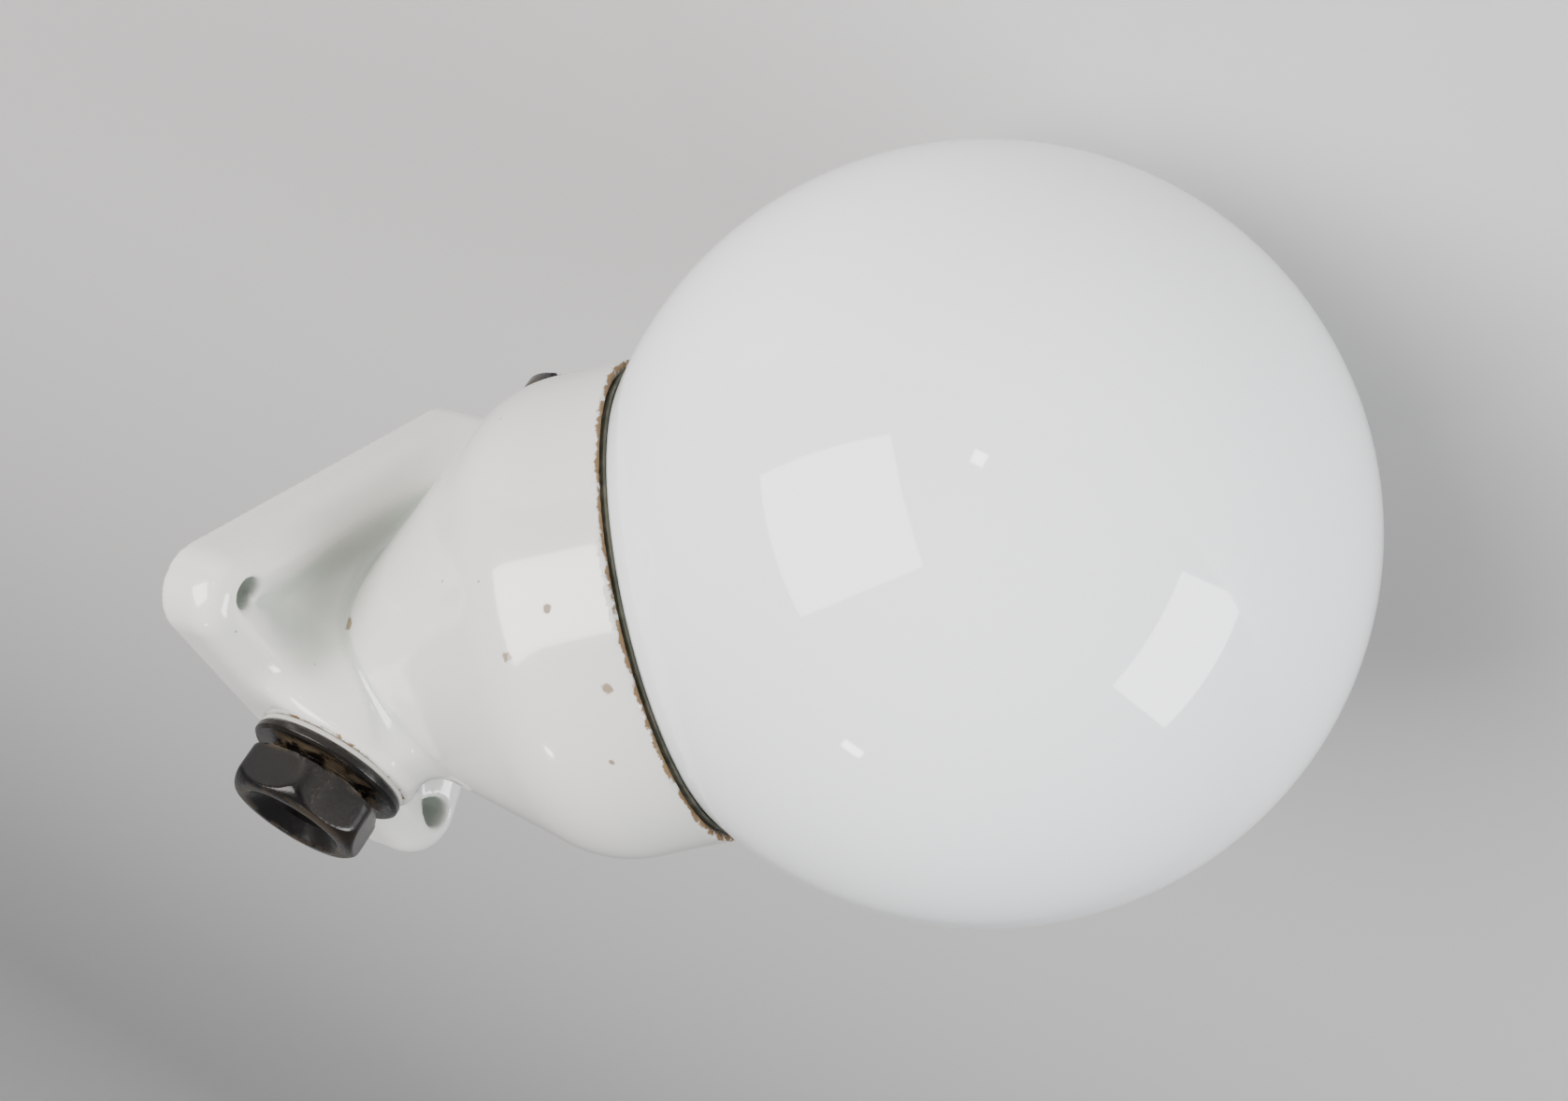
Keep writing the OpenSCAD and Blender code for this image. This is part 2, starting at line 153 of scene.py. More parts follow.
class Graph:
    """A node tree with one way to add a node."""

    def __init__(self, tree: bpy.types.NodeTree) -> None:
        """Keeps the tree."""
        self.tree = tree

    def add(self, kind: str, settings: Optional[dict] = None, values: Optional[dict] = None
            ) -> bpy.types.Node:
        """Adds a node.

        Args:
            kind: The node's type name.
            settings: Properties of the node, set first.
            values: Socket name or index to a constant, a Wire or an output socket.

        Returns:
            The node.
        """
        node = self.tree.nodes.new(kind)
        for name, value in (settings or {}).items():
            setattr(node, name, value)
        for name, value in (values or {}).items():
            self.feed(node.inputs[name], value)
        return node

    def feed(self, socket: bpy.types.NodeSocket, value: object) -> None:
        """Links or sets one input.

        Args:
            socket: The input.
            value: A Wire, an output socket or a constant; a colour may have three parts.
        """
        if isinstance(value, Wire):
            value = value.socket
        if isinstance(value, bpy.types.NodeSocket):
            self.tree.links.new(value, socket)
            return
        if socket.type == "RGBA" and len(value) == 3:
            value = (*value, 1.0)
        socket.default_value = value


class GeometryTree(Graph):
    """A Geometry Nodes tree with named inputs, which is baked into a plain mesh."""

    def __init__(self, name: str, inputs: Sizes) -> None:
        """Makes the tree and its interface.

        Args:
            name: The tree's name.
            inputs: Names of its sizes, in millimetres, with their first values; an int is a count.
        """
        super().__init__(bpy.data.node_groups.new(name, "GeometryNodeTree"))
        self.keys: dict[str, str] = {}
        for label, value in inputs.items():
            kind = "NodeSocketInt" if isinstance(value, int) else "NodeSocketFloat"
            socket = self.tree.interface.new_socket(label, in_out="INPUT", socket_type=kind)
            socket.default_value = value
            self.keys[label] = socket.identifier
        self.tree.interface.new_socket("Mesh", in_out="OUTPUT", socket_type="NodeSocketGeometry")
        self.entry = self.add("NodeGroupInput")
        self.exit = self.add("NodeGroupOutput")

    def size(self, label: str) -> Wire:
        """One of the tree's inputs."""
        return Wire(self, self.entry.outputs[label])

    def vector(self, x: Scalar, y: Scalar, z: Scalar) -> bpy.types.NodeSocket:
        """Joins three numbers into a vector."""
        return self.add("ShaderNodeCombineXYZ", values={0: x, 1: y, 2: z}).outputs[0]

    def sheet(self, around: str, along: str) -> tuple[bpy.types.NodeSocket, Wire, Wire]:
        """Adds a flat grid to be wrapped round an axis.

        Args:
            around: Name of the input that counts its columns.
            along: Name of the input that counts its rows.

        Returns:
            The grid, the angle round the axis, and the way along the section from -1 to 1.
        """
        counts = {"Vertices X": self.size(around) + 1.0, "Vertices Y": self.size(along) + 1.0}
        grid = self.add("GeometryNodeMeshGrid", values={"Size X": 1.0, "Size Y": 1.0, **counts})
        place = self.add("GeometryNodeInputPosition").outputs[0]
        split = self.add("ShaderNodeSeparateXYZ", values={0: place})
        turn = (Wire(self, split.outputs[0]) + 0.5) * (2.0 * math.pi)
        return grid.outputs[0], turn, Wire(self, split.outputs[1]) * 2.0

    def wrap(self, grid: bpy.types.NodeSocket, turn: Wire, radius: Wire, height: Wire, finish: "Finish"
             ) -> None:
        """Wraps a grid round local z, closes its seam and its poles, and ends the tree."""
        place = self.vector(radius * turn.cos(), radius * turn.sin(), height)
        moved = self.add("GeometryNodeSetPosition", values={"Geometry": grid, "Position": place})
        values = {"Geometry": moved.outputs[0], "Distance": 0.002}
        joined = self.add("GeometryNodeMergeByDistance", values=values)
        self.close(joined.outputs[0], finish)

    def close(self, geometry: bpy.types.NodeSocket, finish: "Finish") -> None:
        """Ends the tree in Realize Instances and Set Material."""
        real = self.add("GeometryNodeRealizeInstances", values={"Geometry": geometry})
        values = {"Geometry": real.outputs[0], "Material": finish.material()}
        dressed = self.add("GeometryNodeSetMaterial", values=values)
        self.feed(self.exit.inputs[0], dressed.outputs[0])

    def bake(self, name: str, axis: "Axis", sizes: Sizes, sharp_deg: float = 50.0
             ) -> bpy.types.Object:
        """Evaluates the tree once and keeps its result as a piece's own mesh.

        Args:
            name: The piece's name.
            axis: Where the tree's local frame stands.
            sizes: Values of the tree's inputs.
            sharp_deg: Edges that turn by more than this stay crisp.

        Returns:
            The piece, at the origin, with its place in its mesh.
        """
        made = bpy.data.objects.new(name, bpy.data.meshes.new(name))
        bpy.context.scene.collection.objects.link(made)
        modifier = made.modifiers.new("build", "NODES")
        modifier.node_group = self.tree
        for label, value in sizes.items():
            modifier[self.keys[label]] = value
        mesh = bpy.data.meshes.new_from_object(made.evaluated_get(bpy.context.evaluated_depsgraph_get()))
        made.modifiers.clear()
        made.data = mesh
        mesh.name = name
        turn = Matrix(axis.matrix().tolist()).to_4x4()
        mesh.transform(Matrix.Translation(Vector(axis.origin) * MM) @ turn @ Matrix.Scale(MM, 4))
        face_outwards(mesh)
        mesh.shade_smooth()
        mesh.set_sharp_from_angle(angle=math.radians(sharp_deg))
        return made


class Shader(Graph):
    """A material's graph, with the patterns that the finishes share."""

    def __init__(self, name: str) -> None:
        """Makes the material with a Principled shader and Object coordinates."""
        self.material = bpy.data.materials.new(name)
        self.material.use_nodes = True
        super().__init__(self.material.node_tree)
        self.tree.nodes.clear()
        self.surface = self.add("ShaderNodeBsdfPrincipled")
        output = self.add("ShaderNodeOutputMaterial")
        self.tree.links.new(self.surface.outputs[0], output.inputs["Surface"])
        self.place = self.add("ShaderNodeTexCoord").outputs["Object"]

    def noise(self, scale: float, detail: float = 3.0, roughness: float = 0.5,
              stretch: Point = (1, 1, 1)) -> Wire:
        """Adds a noise pattern.

        Args:
            scale: Features per metre.
            detail: Octaves.
            roughness: Weight of the finer octaves.
            stretch: Scale along each axis.

        Returns:
            A value around 0.5.
        """
        mapped = self.add("ShaderNodeMapping", values={"Vector": self.place, "Scale": stretch})
        values = {"Vector": mapped.outputs[0], "Scale": scale, "Detail": detail, "Roughness": roughness}
        return Wire(self, self.add("ShaderNodeTexNoise", values=values).outputs[0])

    def specks(self, scale: float, size: float, share: float) -> Wire:
        """Adds sparse round specks.

        Args:
            scale: Cells per metre.
            size: Radius of a speck, in parts of a cell.
            share: Share of the cells that have a speck.

        Returns:
            1 in a speck and 0 elsewhere.
        """
        cells = self.add("ShaderNodeTexVoronoi", values={"Vector": self.place, "Scale": scale})
        split = self.add("ShaderNodeSeparateColor", values={"Color": cells.outputs["Color"]})
        near = Wire(self, cells.outputs["Distance"]).step(size, size * 0.4)
        return near * Wire(self, split.outputs[0]).step(share, share * 0.9)

    def attribute(self, name: str) -> Wire:
        """Reads a value that a mesh carries."""
        return Wire(self, self.add("ShaderNodeAttribute", {"attribute_name": name}).outputs["Fac"])

    def blend(self, amount: Scalar, first: object, second: object) -> bpy.types.NodeSocket:
        """Mixes two colours.

        Args:
            amount: 0 gives the first and 1 the second.
            first: A colour or a colour socket.
            second: A colour or a colour socket.

        Returns:
            The mixed colour's socket.
        """
        values = {"Factor": amount, "A": first, "B": second}
        node = self.tree.nodes.new("ShaderNodeMix")
        node.data_type = "RGBA"
        for socket in node.inputs:
            if socket.enabled and socket.name in values:
                self.feed(socket, values[socket.name])
        return next(s for s in node.outputs if s.enabled)

    def bump(self, height: Wire, depth_mm: float) -> None:
        """Turns a height pattern into the shader's normal.

        Args:
            height: Pattern from 0 to 1.
            depth_mm: Height of 1, in millimetres.
        """
        values = {"Strength": 1.0, "Distance": depth_mm * MM, "Height": height}
        node = self.add("ShaderNodeBump", values=values)
        self.feed(self.surface.inputs["Normal"], node.outputs[0])

    def set(self, **values: object) -> None:
        """Sets the shader's inputs; an underscore in a name stands for a space."""
        for name, value in values.items():
            self.feed(self.surface.inputs[name.replace("_", " ")], value)


# ---------------------------------------------------------------- finishes


@dataclass(frozen=True)
class Finish:
    """A material that a piece can be dressed in."""

    name: str

    def paint(self, shader: Shader) -> None:
        """Builds the material's nodes; each finish has its own."""
        raise NotImplementedError

    def material(self) -> bpy.types.Material:
        """The material, made on first use."""
        found = bpy.data.materials.get(self.name)
        if found is None:
            shader = Shader(self.name)
            self.paint(shader)
            found = shader.material
        return found


@dataclass(frozen=True)
class GlazedPorcelain(Finish):
    """Warm white glaze that pools grey-green in hollows, with grime at the rim and a few pits."""

    body: Colour = (0.70, 0.695, 0.665)
    pooled_and_shaded: Colour = (0.48, 0.53, 0.48)
    grime: Colour = (0.19, 0.115, 0.05)
    chips: tuple[tuple[Point, float], ...] = ()

    def paint(self, shader: Shader) -> None:
        """Mixes pooled glaze, grime, pits and chips over the white body."""
        cloud = shader.noise(38, 4)
        # Glaze gathered in hollows plus painted shade: concave places and the base's valley are painted
        # darker grey-green.
        pool_and_shade = shader.attribute("pooling") * (0.75 + 0.5 * cloud)
        colour = shader.blend(pool_and_shade, self.body, self.pooled_and_shaded)
        warm = shader.noise(11, 2).step(0.45, 0.75) * 0.35
        colour = shader.blend(warm, colour, (0.70, 0.65, 0.60))
        ragged = shader.noise(420, 5, 0.7)
        soil = (shader.attribute("grime") + (ragged - 0.5) * 1.6).step(0.62, 0.80)
        pits = shader.specks(260, 0.10, 0.06).most(shader.specks(95, 0.05, 0.05))
        dirt = soil.most(pits * 0.8)
        edge_noise = (shader.noise(700, 3) - 0.5) * 1.6
        for centre, radius in self.chips:
            offset = shader.add("ShaderNodeVectorMath", {"operation": "DISTANCE"},
                                {0: shader.place, 1: tuple(c * MM for c in centre)})
            gap = Wire(shader, offset.outputs["Value"]) / (radius * MM) + edge_noise
            dirt = dirt.most(gap.step(1.1, 0.6) * 0.85)
        colour = shader.blend(dirt, colour, self.grime)
        shader.set(Base_Color=colour, Roughness=0.16 + 0.55 * dirt, IOR=1.5, Coat_Roughness=0.05,
                   Coat_Weight=0.6 * (1.0 - dirt))
        ripple = shader.noise(55, 2) * 0.7 + shader.noise(900, 2) * 0.04 - dirt * 0.3
        shader.bump(ripple, 0.22)


@dataclass(frozen=True)
class OpalGlass(Finish):
    """Dense milk glass: a cool white mass under a smooth, faintly wavy skin."""

    body: Colour = (0.80, 0.885, 0.99)

    def paint(self, shader: Shader) -> None:
        """Sets the milk white, a little depth of light and a few dust specks."""
        haze = shader.noise(16, 3).step(0.35, 0.75) * 0.25
        colour = shader.blend(haze, self.body, (0.83, 0.90, 0.97))
        dust = shader.specks(150, 0.05, 0.05)
        colour = shader.blend(dust * 0.6, colour, (0.28, 0.24, 0.2))
        shader.set(Base_Color=colour, Roughness=0.06 + 0.3 * dust, IOR=1.52, Coat_Weight=0.4,
                   Coat_Roughness=0.03, Subsurface_Weight=0.25, Subsurface_Radius=(0.012, 0.013, 0.015),
                   Subsurface_Scale=1.0)
        shader.bump(shader.noise(30, 2), 0.12)


@dataclass(frozen=True)
class Phenolic(Finish):
    """Dark brown moulded resin, dull with dust in its corners and polished on its flats."""

    body: Colour = (0.004, 0.0036, 0.0036)
    dust: Colour = (0.085, 0.06, 0.036)

    def paint(self, shader: Shader) -> None:
        """Lays patchy dust and fine scratches over a semi-gloss body."""
        patch = shader.noise(95, 5, 0.65).step(0.52, 0.78)
        fine = shader.noise(1500, 3)
        colour = shader.blend(shader.noise(60, 3).step(0.4, 0.7), self.body, (0.009, 0.0065, 0.005))
        dusty = patch * fine.step(0.35, 0.7) * 0.35
        dusty = dusty.most(shader.attribute("grime") * shader.noise(260, 4).step(0.42, 0.6))
        colour = shader.blend(dusty, colour, self.dust)
        shader.set(Base_Color=colour, Roughness=0.16 + 0.5 * dusty + 0.14 * shader.noise(130, 3), IOR=1.38)
        shader.bump(fine * 0.5 + shader.noise(180, 3), 0.1)


@dataclass(frozen=True)
class Rubber(Finish):
    """Aged rubber, matt and slightly mottled."""

    body: Colour = (0.16, 0.175, 0.14)
    faded: Colour = (0.33, 0.33, 0.27)

    def paint(self, shader: Shader) -> None:
        """Mottles the body colour and roughens it."""
        colour = shader.blend(shader.noise(240, 4).step(0.35, 0.7), self.body, self.faded)
        shader.set(Base_Color=colour, Roughness=0.62 + 0.2 * shader.noise(500, 2), IOR=1.5)
        shader.bump(shader.noise(1400, 3), 0.06)


@dataclass(frozen=True)
class Metal(Finish):
    """Worked metal with fine marks and a dull film."""

    body: Colour = (0.60, 0.60, 0.58)
    film: Colour = (0.32, 0.30, 0.27)
    gloss: float = 0.3
    filmed: float = 0.4

    def paint(self, shader: Shader) -> None:
        """Spreads the film in patches and adds fine marks."""
        film = shader.noise(190, 4, 0.6).step(0.45, 0.75) * self.filmed
        colour = shader.blend(film, self.body, self.film)
        marks = shader.noise(2400, 2, stretch=(1, 1, 0.15))
        rough = self.gloss + 0.3 * film + 0.08 * marks
        shader.set(Base_Color=colour, Metallic=1.0 - 0.35 * film, Roughness=rough)
        shader.bump(marks, 0.02)


@dataclass(frozen=True)
class Steatite(Finish):
    """Unglazed or thinly glazed technical ceramic."""

    body: Colour = (0.74, 0.72, 0.66)

    def paint(self, shader: Shader) -> None:
        """Speckles a satin off-white."""
        fleck = shader.specks(700, 0.12, 0.12)
        colour = shader.blend(shader.noise(80, 3) * 0.4, self.body, (0.66, 0.62, 0.54))
        colour = shader.blend(fleck * 0.5, colour, (0.35, 0.3, 0.24))
        shader.set(Base_Color=colour, Roughness=0.38 + 0.15 * shader.noise(400, 2), IOR=1.5)
        shader.bump(shader.noise(900, 3), 0.04)


@dataclass(frozen=True)
class ClearGlass(Finish):
    """Thin clear glass that is seen by its edges and its gloss."""

    tint: Colour = (0.93, 0.96, 0.96)

    def paint(self, shader: Shader) -> None:
        """Makes the glass see-through, with a faint uneven film."""
        film = shader.noise(60, 3).step(0.4, 0.8)
        colour = shader.blend(film, self.tint, (0.88, 0.90, 0.88))
        shader.set(Base_Color=colour, Roughness=0.03 + 0.05 * film, IOR=1.5, Alpha=0.16 + 0.05 * film)
        shader.bump(shader.noise(40, 2), 0.05)


@dataclass(frozen=True)
class BlackGlass(Finish):
    """Black vitreous insulator of a lamp cap."""

    def paint(self, shader: Shader) -> None:
        """A glossy near-black with small bubbles."""
        bubble = shader.specks(900, 0.2, 0.2)
        colour = shader.blend(bubble * 0.3, (0.012, 0.012, 0.016), (0.08, 0.08, 0.09))
        shader.set(Base_Color=colour, Roughness=0.1 + 0.1 * bubble, IOR=1.52)
        shader.bump(shader.noise(500, 2), 0.05)


@dataclass(frozen=True)
class StudioFloor(Finish):
    """Plain pale floor."""

    body: Colour = (0.58, 0.575, 0.57)

    def paint(self, shader: Shader) -> None:
        """A matt, barely varied surface."""
        colour = shader.blend(shader.noise(3, 2) * 0.25, self.body, (0.55, 0.545, 0.54))
        shader.set(Base_Color=colour, Roughness=0.75)


# ---------------------------------------------------------------- shapes


@dataclass(frozen=True)
class Axis:
    """A line in the row frame: local z runs along it, local x is the row's X."""

    origin: Point
    way: Point

    def matrix(self) -> np.ndarray:
        """Columns are local x, y and z in the row frame."""
        along = np.array(self.way, float)
        across = np.array((1.0, 0.0, 0.0))
        return np.column_stack((across, np.cross(along, across), along))

    def to_row(self, points: np.ndarray) -> np.ndarray:
        """Local millimetres to row millimetres."""
        return points @ self.matrix().T + np.array(self.origin)

    def to_local(self, points: np.ndarray) -> np.ndarray:
        """Row millimetres to local millimetres."""
        return (points - np.array(self.origin)) @ self.matrix()


def face_outwards(mesh: bpy.types.Mesh) -> None:
    """Turns the faces of a closed mesh outwards, if its volume says that they point in."""
    work = bmesh.new()
    work.from_mesh(mesh)
    if work.calc_volume(signed=True) < 0.0:
        bmesh.ops.reverse_faces(work, faces=work.faces[:])
        work.to_mesh(mesh)
    work.free()


def hexagon(flats: float) -> Shape:
    """A shape for a turned section that flattens its outside to six faces with rounded corners.

    Args:
        flats: Width across the flats; what lies further in than nine tenths of the flats stays round.

    Returns:
        The shape.
    """
    sector = math.pi / 3.0

    def shape(r: np.ndarray, z: np.ndarray, angle: np.ndarray) -> np.ndarray:
        """Radius with the flats cut."""
        local = (angle + sector / 2.0) % sector - sector / 2.0
        flat = flats / 2.0 / np.cos(local)
        corner = flats / 2.0 / math.cos(sector / 2.0) * 0.978
        flat = soft_least(flat, np.full_like(flat, corner), 0.02 * flats)
        return np.where(r > 0.45 * flats - 0.25, soft_least(r, flat, 0.012 * flats), r)

    return shape


LOCAL = Axis((0.0, 0.0, 0.0), (0.0, 0.0, 1.0))


def smooth_step(value: np.ndarray, low: float, high: float) -> np.ndarray:
    """A smooth step from 0 at low to 1 at high; low may be the larger one."""
    t = np.clip((value - low) / (high - low), 0.0, 1.0)
    return t * t * (3.0 - 2.0 * t)


def soft_least(a: np.ndarray, b: np.ndarray, width: Union[float, np.ndarray]) -> np.ndarray:
    """The smaller of two distances, rounded where they meet.

    Args:
        a: First distance.
        b: Second distance.
        width: Difference over which they are blended.

    Returns:
        The blended distance, which unites two solids.
    """
    share = np.clip(0.5 + 0.5 * (b - a) / width, 0.0, 1.0)
    return b + (a - b) * share - width * share * (1.0 - share)


def soft_most(a: np.ndarray, b: np.ndarray, width: Union[float, np.ndarray]) -> np.ndarray:
    """The larger of two distances, rounded where they meet; it intersects two solids."""
    return -soft_least(-a, -b, width)


def polygon_distance(x: np.ndarray, y: np.ndarray, corners: Sequence[tuple[float, float]]) -> np.ndarray:
    """Distance to a polygon in a plane, negative inside.

    Args:
        x: First coordinate of each point.
        y: Second coordinate of each point.
        corners: The polygon's corners, in order.

    Returns:
        The signed distance of each point.
    """
    nearest = np.full(x.shape, np.inf)
    inside = np.zeros(x.shape, bool)
    for (ax, ay), (bx, by) in zip(corners, [*corners[1:], corners[0]]):
        ex, ey = bx - ax, by - ay
        wx, wy = x - ax, y - ay
        t = np.clip((wx * ex + wy * ey) / (ex * ex + ey * ey), 0.0, 1.0)
        nearest = np.minimum(nearest, np.hypot(wx - ex * t, wy - ey * t))
        crosses = (ay > y) != (by > y)
        with np.errstate(divide="ignore", invalid="ignore"):
            inside ^= crosses & (x < ex * (y - ay) / (ey if ey else 1e-9) + ax)
    return np.where(inside, -nearest, nearest)


def surface_net(distance: Field, low: Point, high: Point, step: float
                ) -> tuple[np.ndarray, np.ndarray]:
    """Meshes the zero surface of a distance field with one point in each cell that it crosses.

    Args:
        distance: Signed distance of an array of points, in millimetres.
        low: Lowest corner of the grid.
        high: Highest corner of the grid.
        step: Size of a cell.

    Returns:
        The points and the four-sided faces, which turn outwards.
    """
    lines = [np.arange(a, b + step, step) for a, b in zip(low, high)]
    values = np.empty([len(line) for line in lines])
    for i, x in enumerate(lines[0]):
        y, z = np.meshgrid(lines[1], lines[2], indexing="ij")
        values[i] = distance(np.stack((np.full(y.shape, x), y, z), -1).reshape(-1, 3)).reshape(y.shape)
    solid = values < 0.0
    filled = sum(solid[i:i - 1 or None, j:j - 1 or None, k:k - 1 or None].astype(np.int8)
                 for i in (0, 1) for j in (0, 1) for k in (0, 1))
    cells = np.argwhere((filled > 0) & (filled < 8))
    number = np.full(filled.shape, -1)
    number[tuple(cells.T)] = np.arange(len(cells))
    total = np.zeros((len(cells), 3))
    hits = np.zeros(len(cells))
    for axis in range(3):
        for u in (0, 1):
            for v in (0, 1):
                start = np.insert(np.array((u, v)), axis, 0)
                end = np.insert(np.array((u, v)), axis, 1)
                a, b = values[tuple((cells + start).T)], values[tuple((cells + end).T)]
                cut = (a < 0.0) != (b < 0.0)
                share = np.where(cut, a / np.where(cut, a - b, 1.0), 0.0)
                total += np.where(cut[:, None], start + share[:, None] * (end - start), 0.0)
                hits += cut
    points = np.array(low) + (cells + total / hits[:, None]) * step
    faces = []
    for axis in range(3):
        after = np.roll(solid, -1, axis)
        changed = solid != after
        changed[tuple(slice(-1, None) if n == axis else slice(None) for n in range(3))] = False
        edge = np.argwhere(changed)
        u, v = (axis + 1) % 3, (axis + 2) % 3
        edge = edge[(edge[:, u] > 0) & (edge[:, v] > 0)
                    & (edge[:, u] < solid.shape[u] - 1) & (edge[:, v] < solid.shape[v] - 1)]
        corners = []
        for du, dv in ((-1, -1), (0, -1), (0, 0), (-1, 0)):
            cell = edge.copy()
            cell[:, u] += du
            cell[:, v] += dv
            corners.append(number[tuple(cell.T)])
        quad = np.stack(corners, 1)
        outward = solid[tuple(edge.T)]
        faces.append(np.where(outward[:, None], quad, quad[:, ::-1]))
    return settle(points, distance, 0.45 * step), np.concatenate(faces)


def slopes(points: np.ndarray, distance: Field, reach: float) -> np.ndarray:
    """Gradient of a distance field by central differences over reach."""
    parts = []
    for axis in range(3):
        shift = np.zeros(3)
        shift[axis] = reach
        parts.append((distance(points + shift) - distance(points - shift)) / (2.0 * reach))
    return np.stack(parts, -1)


def settle(points: np.ndarray, distance: Field, limit: float) -> np.ndarray:
    """Moves points onto the zero surface, each by no more than limit in a pass."""
    for _ in range(3):
        slope = slopes(points, distance, 0.05)
        move = distance(points)[:, None] * slope / np.maximum((slope * slope).sum(-1), 0.05)[:, None]
        points = points - np.clip(move, -limit, limit)
    return points


@dataclass
class Corner:
    """A corner of a turned profile: radius and height, and the radius that rounds it."""

    r: float
    z: float
    round: float = 0.0


def profile(corners: Sequence[Corner], arc_step: float = 12.0) -> np.ndarray:
    """Rounds the corners of a closed profile.

    Args:
        corners: Corners in order round the section.
        arc_step: Largest turn between points of an arc, in degrees.

    Returns:
        The points as rows of radius and height.
    """
    result = []
    count = len(corners)
    for i, corner in enumerate(corners):
        here = np.array((corner.r, corner.z))
        before = np.array((corners[i - 1].r, corners[i - 1].z)) - here
        after = np.array((corners[(i + 1) % count].r, corners[(i + 1) % count].z)) - here
        if corner.round <= 0.0:
            result.append(here)
            continue
        size_b, size_a = np.linalg.norm(before), np.linalg.norm(after)
        way_b, way_a = before / size_b, after / size_a
        opening = math.acos(float(np.clip(way_b @ way_a, -1.0, 1.0)))
        cut = min(corner.round / math.tan(opening / 2.0), 0.49 * size_b, 0.49 * size_a)
        radius = cut * math.tan(opening / 2.0)
        middle = way_b + way_a
        centre = here + middle / np.linalg.norm(middle) * radius / math.sin(opening / 2.0)
        first = here + way_b * cut - centre
        turn = math.pi - opening
        steps = max(2, math.ceil(math.degrees(turn) / arc_step))
        sense = 1.0 if way_b[0] * way_a[1] - way_b[1] * way_a[0] < 0.0 else -1.0
        for n in range(steps + 1):
            angle = sense * turn * n / steps
            c, s = math.cos(angle), math.sin(angle)
            result.append(centre + np.array((c * first[0] - s * first[1], s * first[0] + c * first[1])))
    return np.array(result)


def turned(section: np.ndarray, axis: Axis, segments: int = 96,
           shape: Optional[Shape] = None,
           closed: bool = True) -> tuple[np.ndarray, list]:
    """Turns a section about an axis.

    Args:
        section: Rows of radius and height, in order; points at radius 0 become one pole each.
        axis: The line to turn about.
        segments: Points round each ring.
        shape: Takes radius, height and angle, and gives the radius to use instead.
        closed: Whether the section closes on itself; an open one makes a sheet.

    Returns:
        Points in row millimetres and faces.
    """
    angles = np.arange(segments) * 2.0 * math.pi / segments
    points: list[np.ndarray] = []
    rings: list[list[int]] = []
    for r, z in section:
        start = sum(len(p) for p in points)
        if r < 1e-6:
            points.append(np.array(((0.0, 0.0, z),)))
            rings.append([start])
            continue
        radius = np.full(segments, r)
        if shape is not None:
            radius = shape(radius, np.full(segments, z), angles)
        flat = radius * np.cos(angles), radius * np.sin(angles)
        points.append(np.column_stack((*flat, np.full(segments, z))))
        rings.append(list(range(start, start + segments)))
    faces = []
    for ring, after in zip(rings, [*rings[1:], rings[0]] if closed else rings[1:]):
        if len(ring) == 1 and len(after) == 1:
            continue
        for n in range(segments):
            m = (n + 1) % segments
            if len(ring) == 1:
                faces.append((ring[0], after[m], after[n]))
            elif len(after) == 1:
                faces.append((ring[n], ring[m], after[0]))
            else:
                faces.append((ring[n], ring[m], after[m], after[n]))
    r, z = section.T
    if np.sum(r * np.roll(z, -1) - np.roll(r, -1) * z) < 0.0:
        faces = [tuple(reversed(face)) for face in faces]
    return axis.to_row(np.concatenate(points)), faces


def piece(name: str, points: np.ndarray, faces: Iterable, finish: Finish, sharp_deg: float = 40.0
          ) -> bpy.types.Object:
    """Makes a finished piece from points in row millimetres.

    Args:
        name: The piece's name.
        points: Points in row millimetres.
        faces: Faces that turn outwards.
        finish: What it is dressed in.
        sharp_deg: Edges that turn by more than this stay crisp.

    Returns:
        The object, at the origin, with its place in its mesh.
    """
    mesh = bpy.data.meshes.new(name)
    rows = faces.tolist() if isinstance(faces, np.ndarray) else list(faces)
    mesh.from_pydata((points * MM).tolist(), [], rows)
    mesh.validate()
    mesh.shade_smooth()
    mesh.set_sharp_from_angle(angle=math.radians(sharp_deg))
    mesh.materials.append(finish.material())
    made = bpy.data.objects.new(name, mesh)
    bpy.context.scene.collection.objects.link(made)
    return made


def lathe(name: str, section: np.ndarray, axis: Axis, finish: Finish, segments: int = 96,
          shape: Optional[Shape] = None, sharp_deg: float = 40.0) -> bpy.types.Object:
    """Makes a piece by turning a closed section; see turned and piece."""
    points, faces = turned(section, axis, segments, shape)
    return piece(name, points, faces, finish, sharp_deg)


def washer(inner: float, outer: float, low: float, high: float, edge: float = 0.3) -> np.ndarray:
    """Section of a flat ring with rounded edges, the outer ones by edge."""
    return profile([Corner(inner, low, 0.2), Corner(outer, low, edge), Corner(outer, high, edge),
                    Corner(inner, high, 0.2)])


def round_thread(radius: float, low: float, high: float, pitch: float, depth: float) -> Shape:
    """A shape for a turned section that cuts a round thread into it.

    Args:
        radius: Radius that is threaded; the rest of the section stays as it is.
        low: Height where the thread starts.
        high: Height where it ends.
        pitch: Its pitch.
        depth: Its depth.

    Returns:
        The shape.
    """

    def shape(r: np.ndarray, z: np.ndarray, angle: np.ndarray) -> np.ndarray:
        """Radius with the thread cut."""
        cut = depth * (0.5 + 0.5 * np.cos(2.0 * math.pi * z / pitch - angle))
        return r - np.where((np.abs(r - radius) < 0.01) & (z > low) & (z < high), cut, 0.0)

    return shape


def carve(made: bpy.types.Object, cutter: bpy.types.Object) -> None:
    """Takes the cutter's shape out of an object and removes the cutter."""
    cut = made.modifiers.new("carve", "BOOLEAN")
    cut.operation, cut.solver, cut.object = "DIFFERENCE", "EXACT", cutter
    bpy.context.view_layer.update()
    view = bpy.context.evaluated_depsgraph_get()
    shaped = bpy.data.meshes.new_from_object(made.evaluated_get(view))
    made.modifiers.clear()
    made.data = shaped
    bpy.data.objects.remove(cutter)


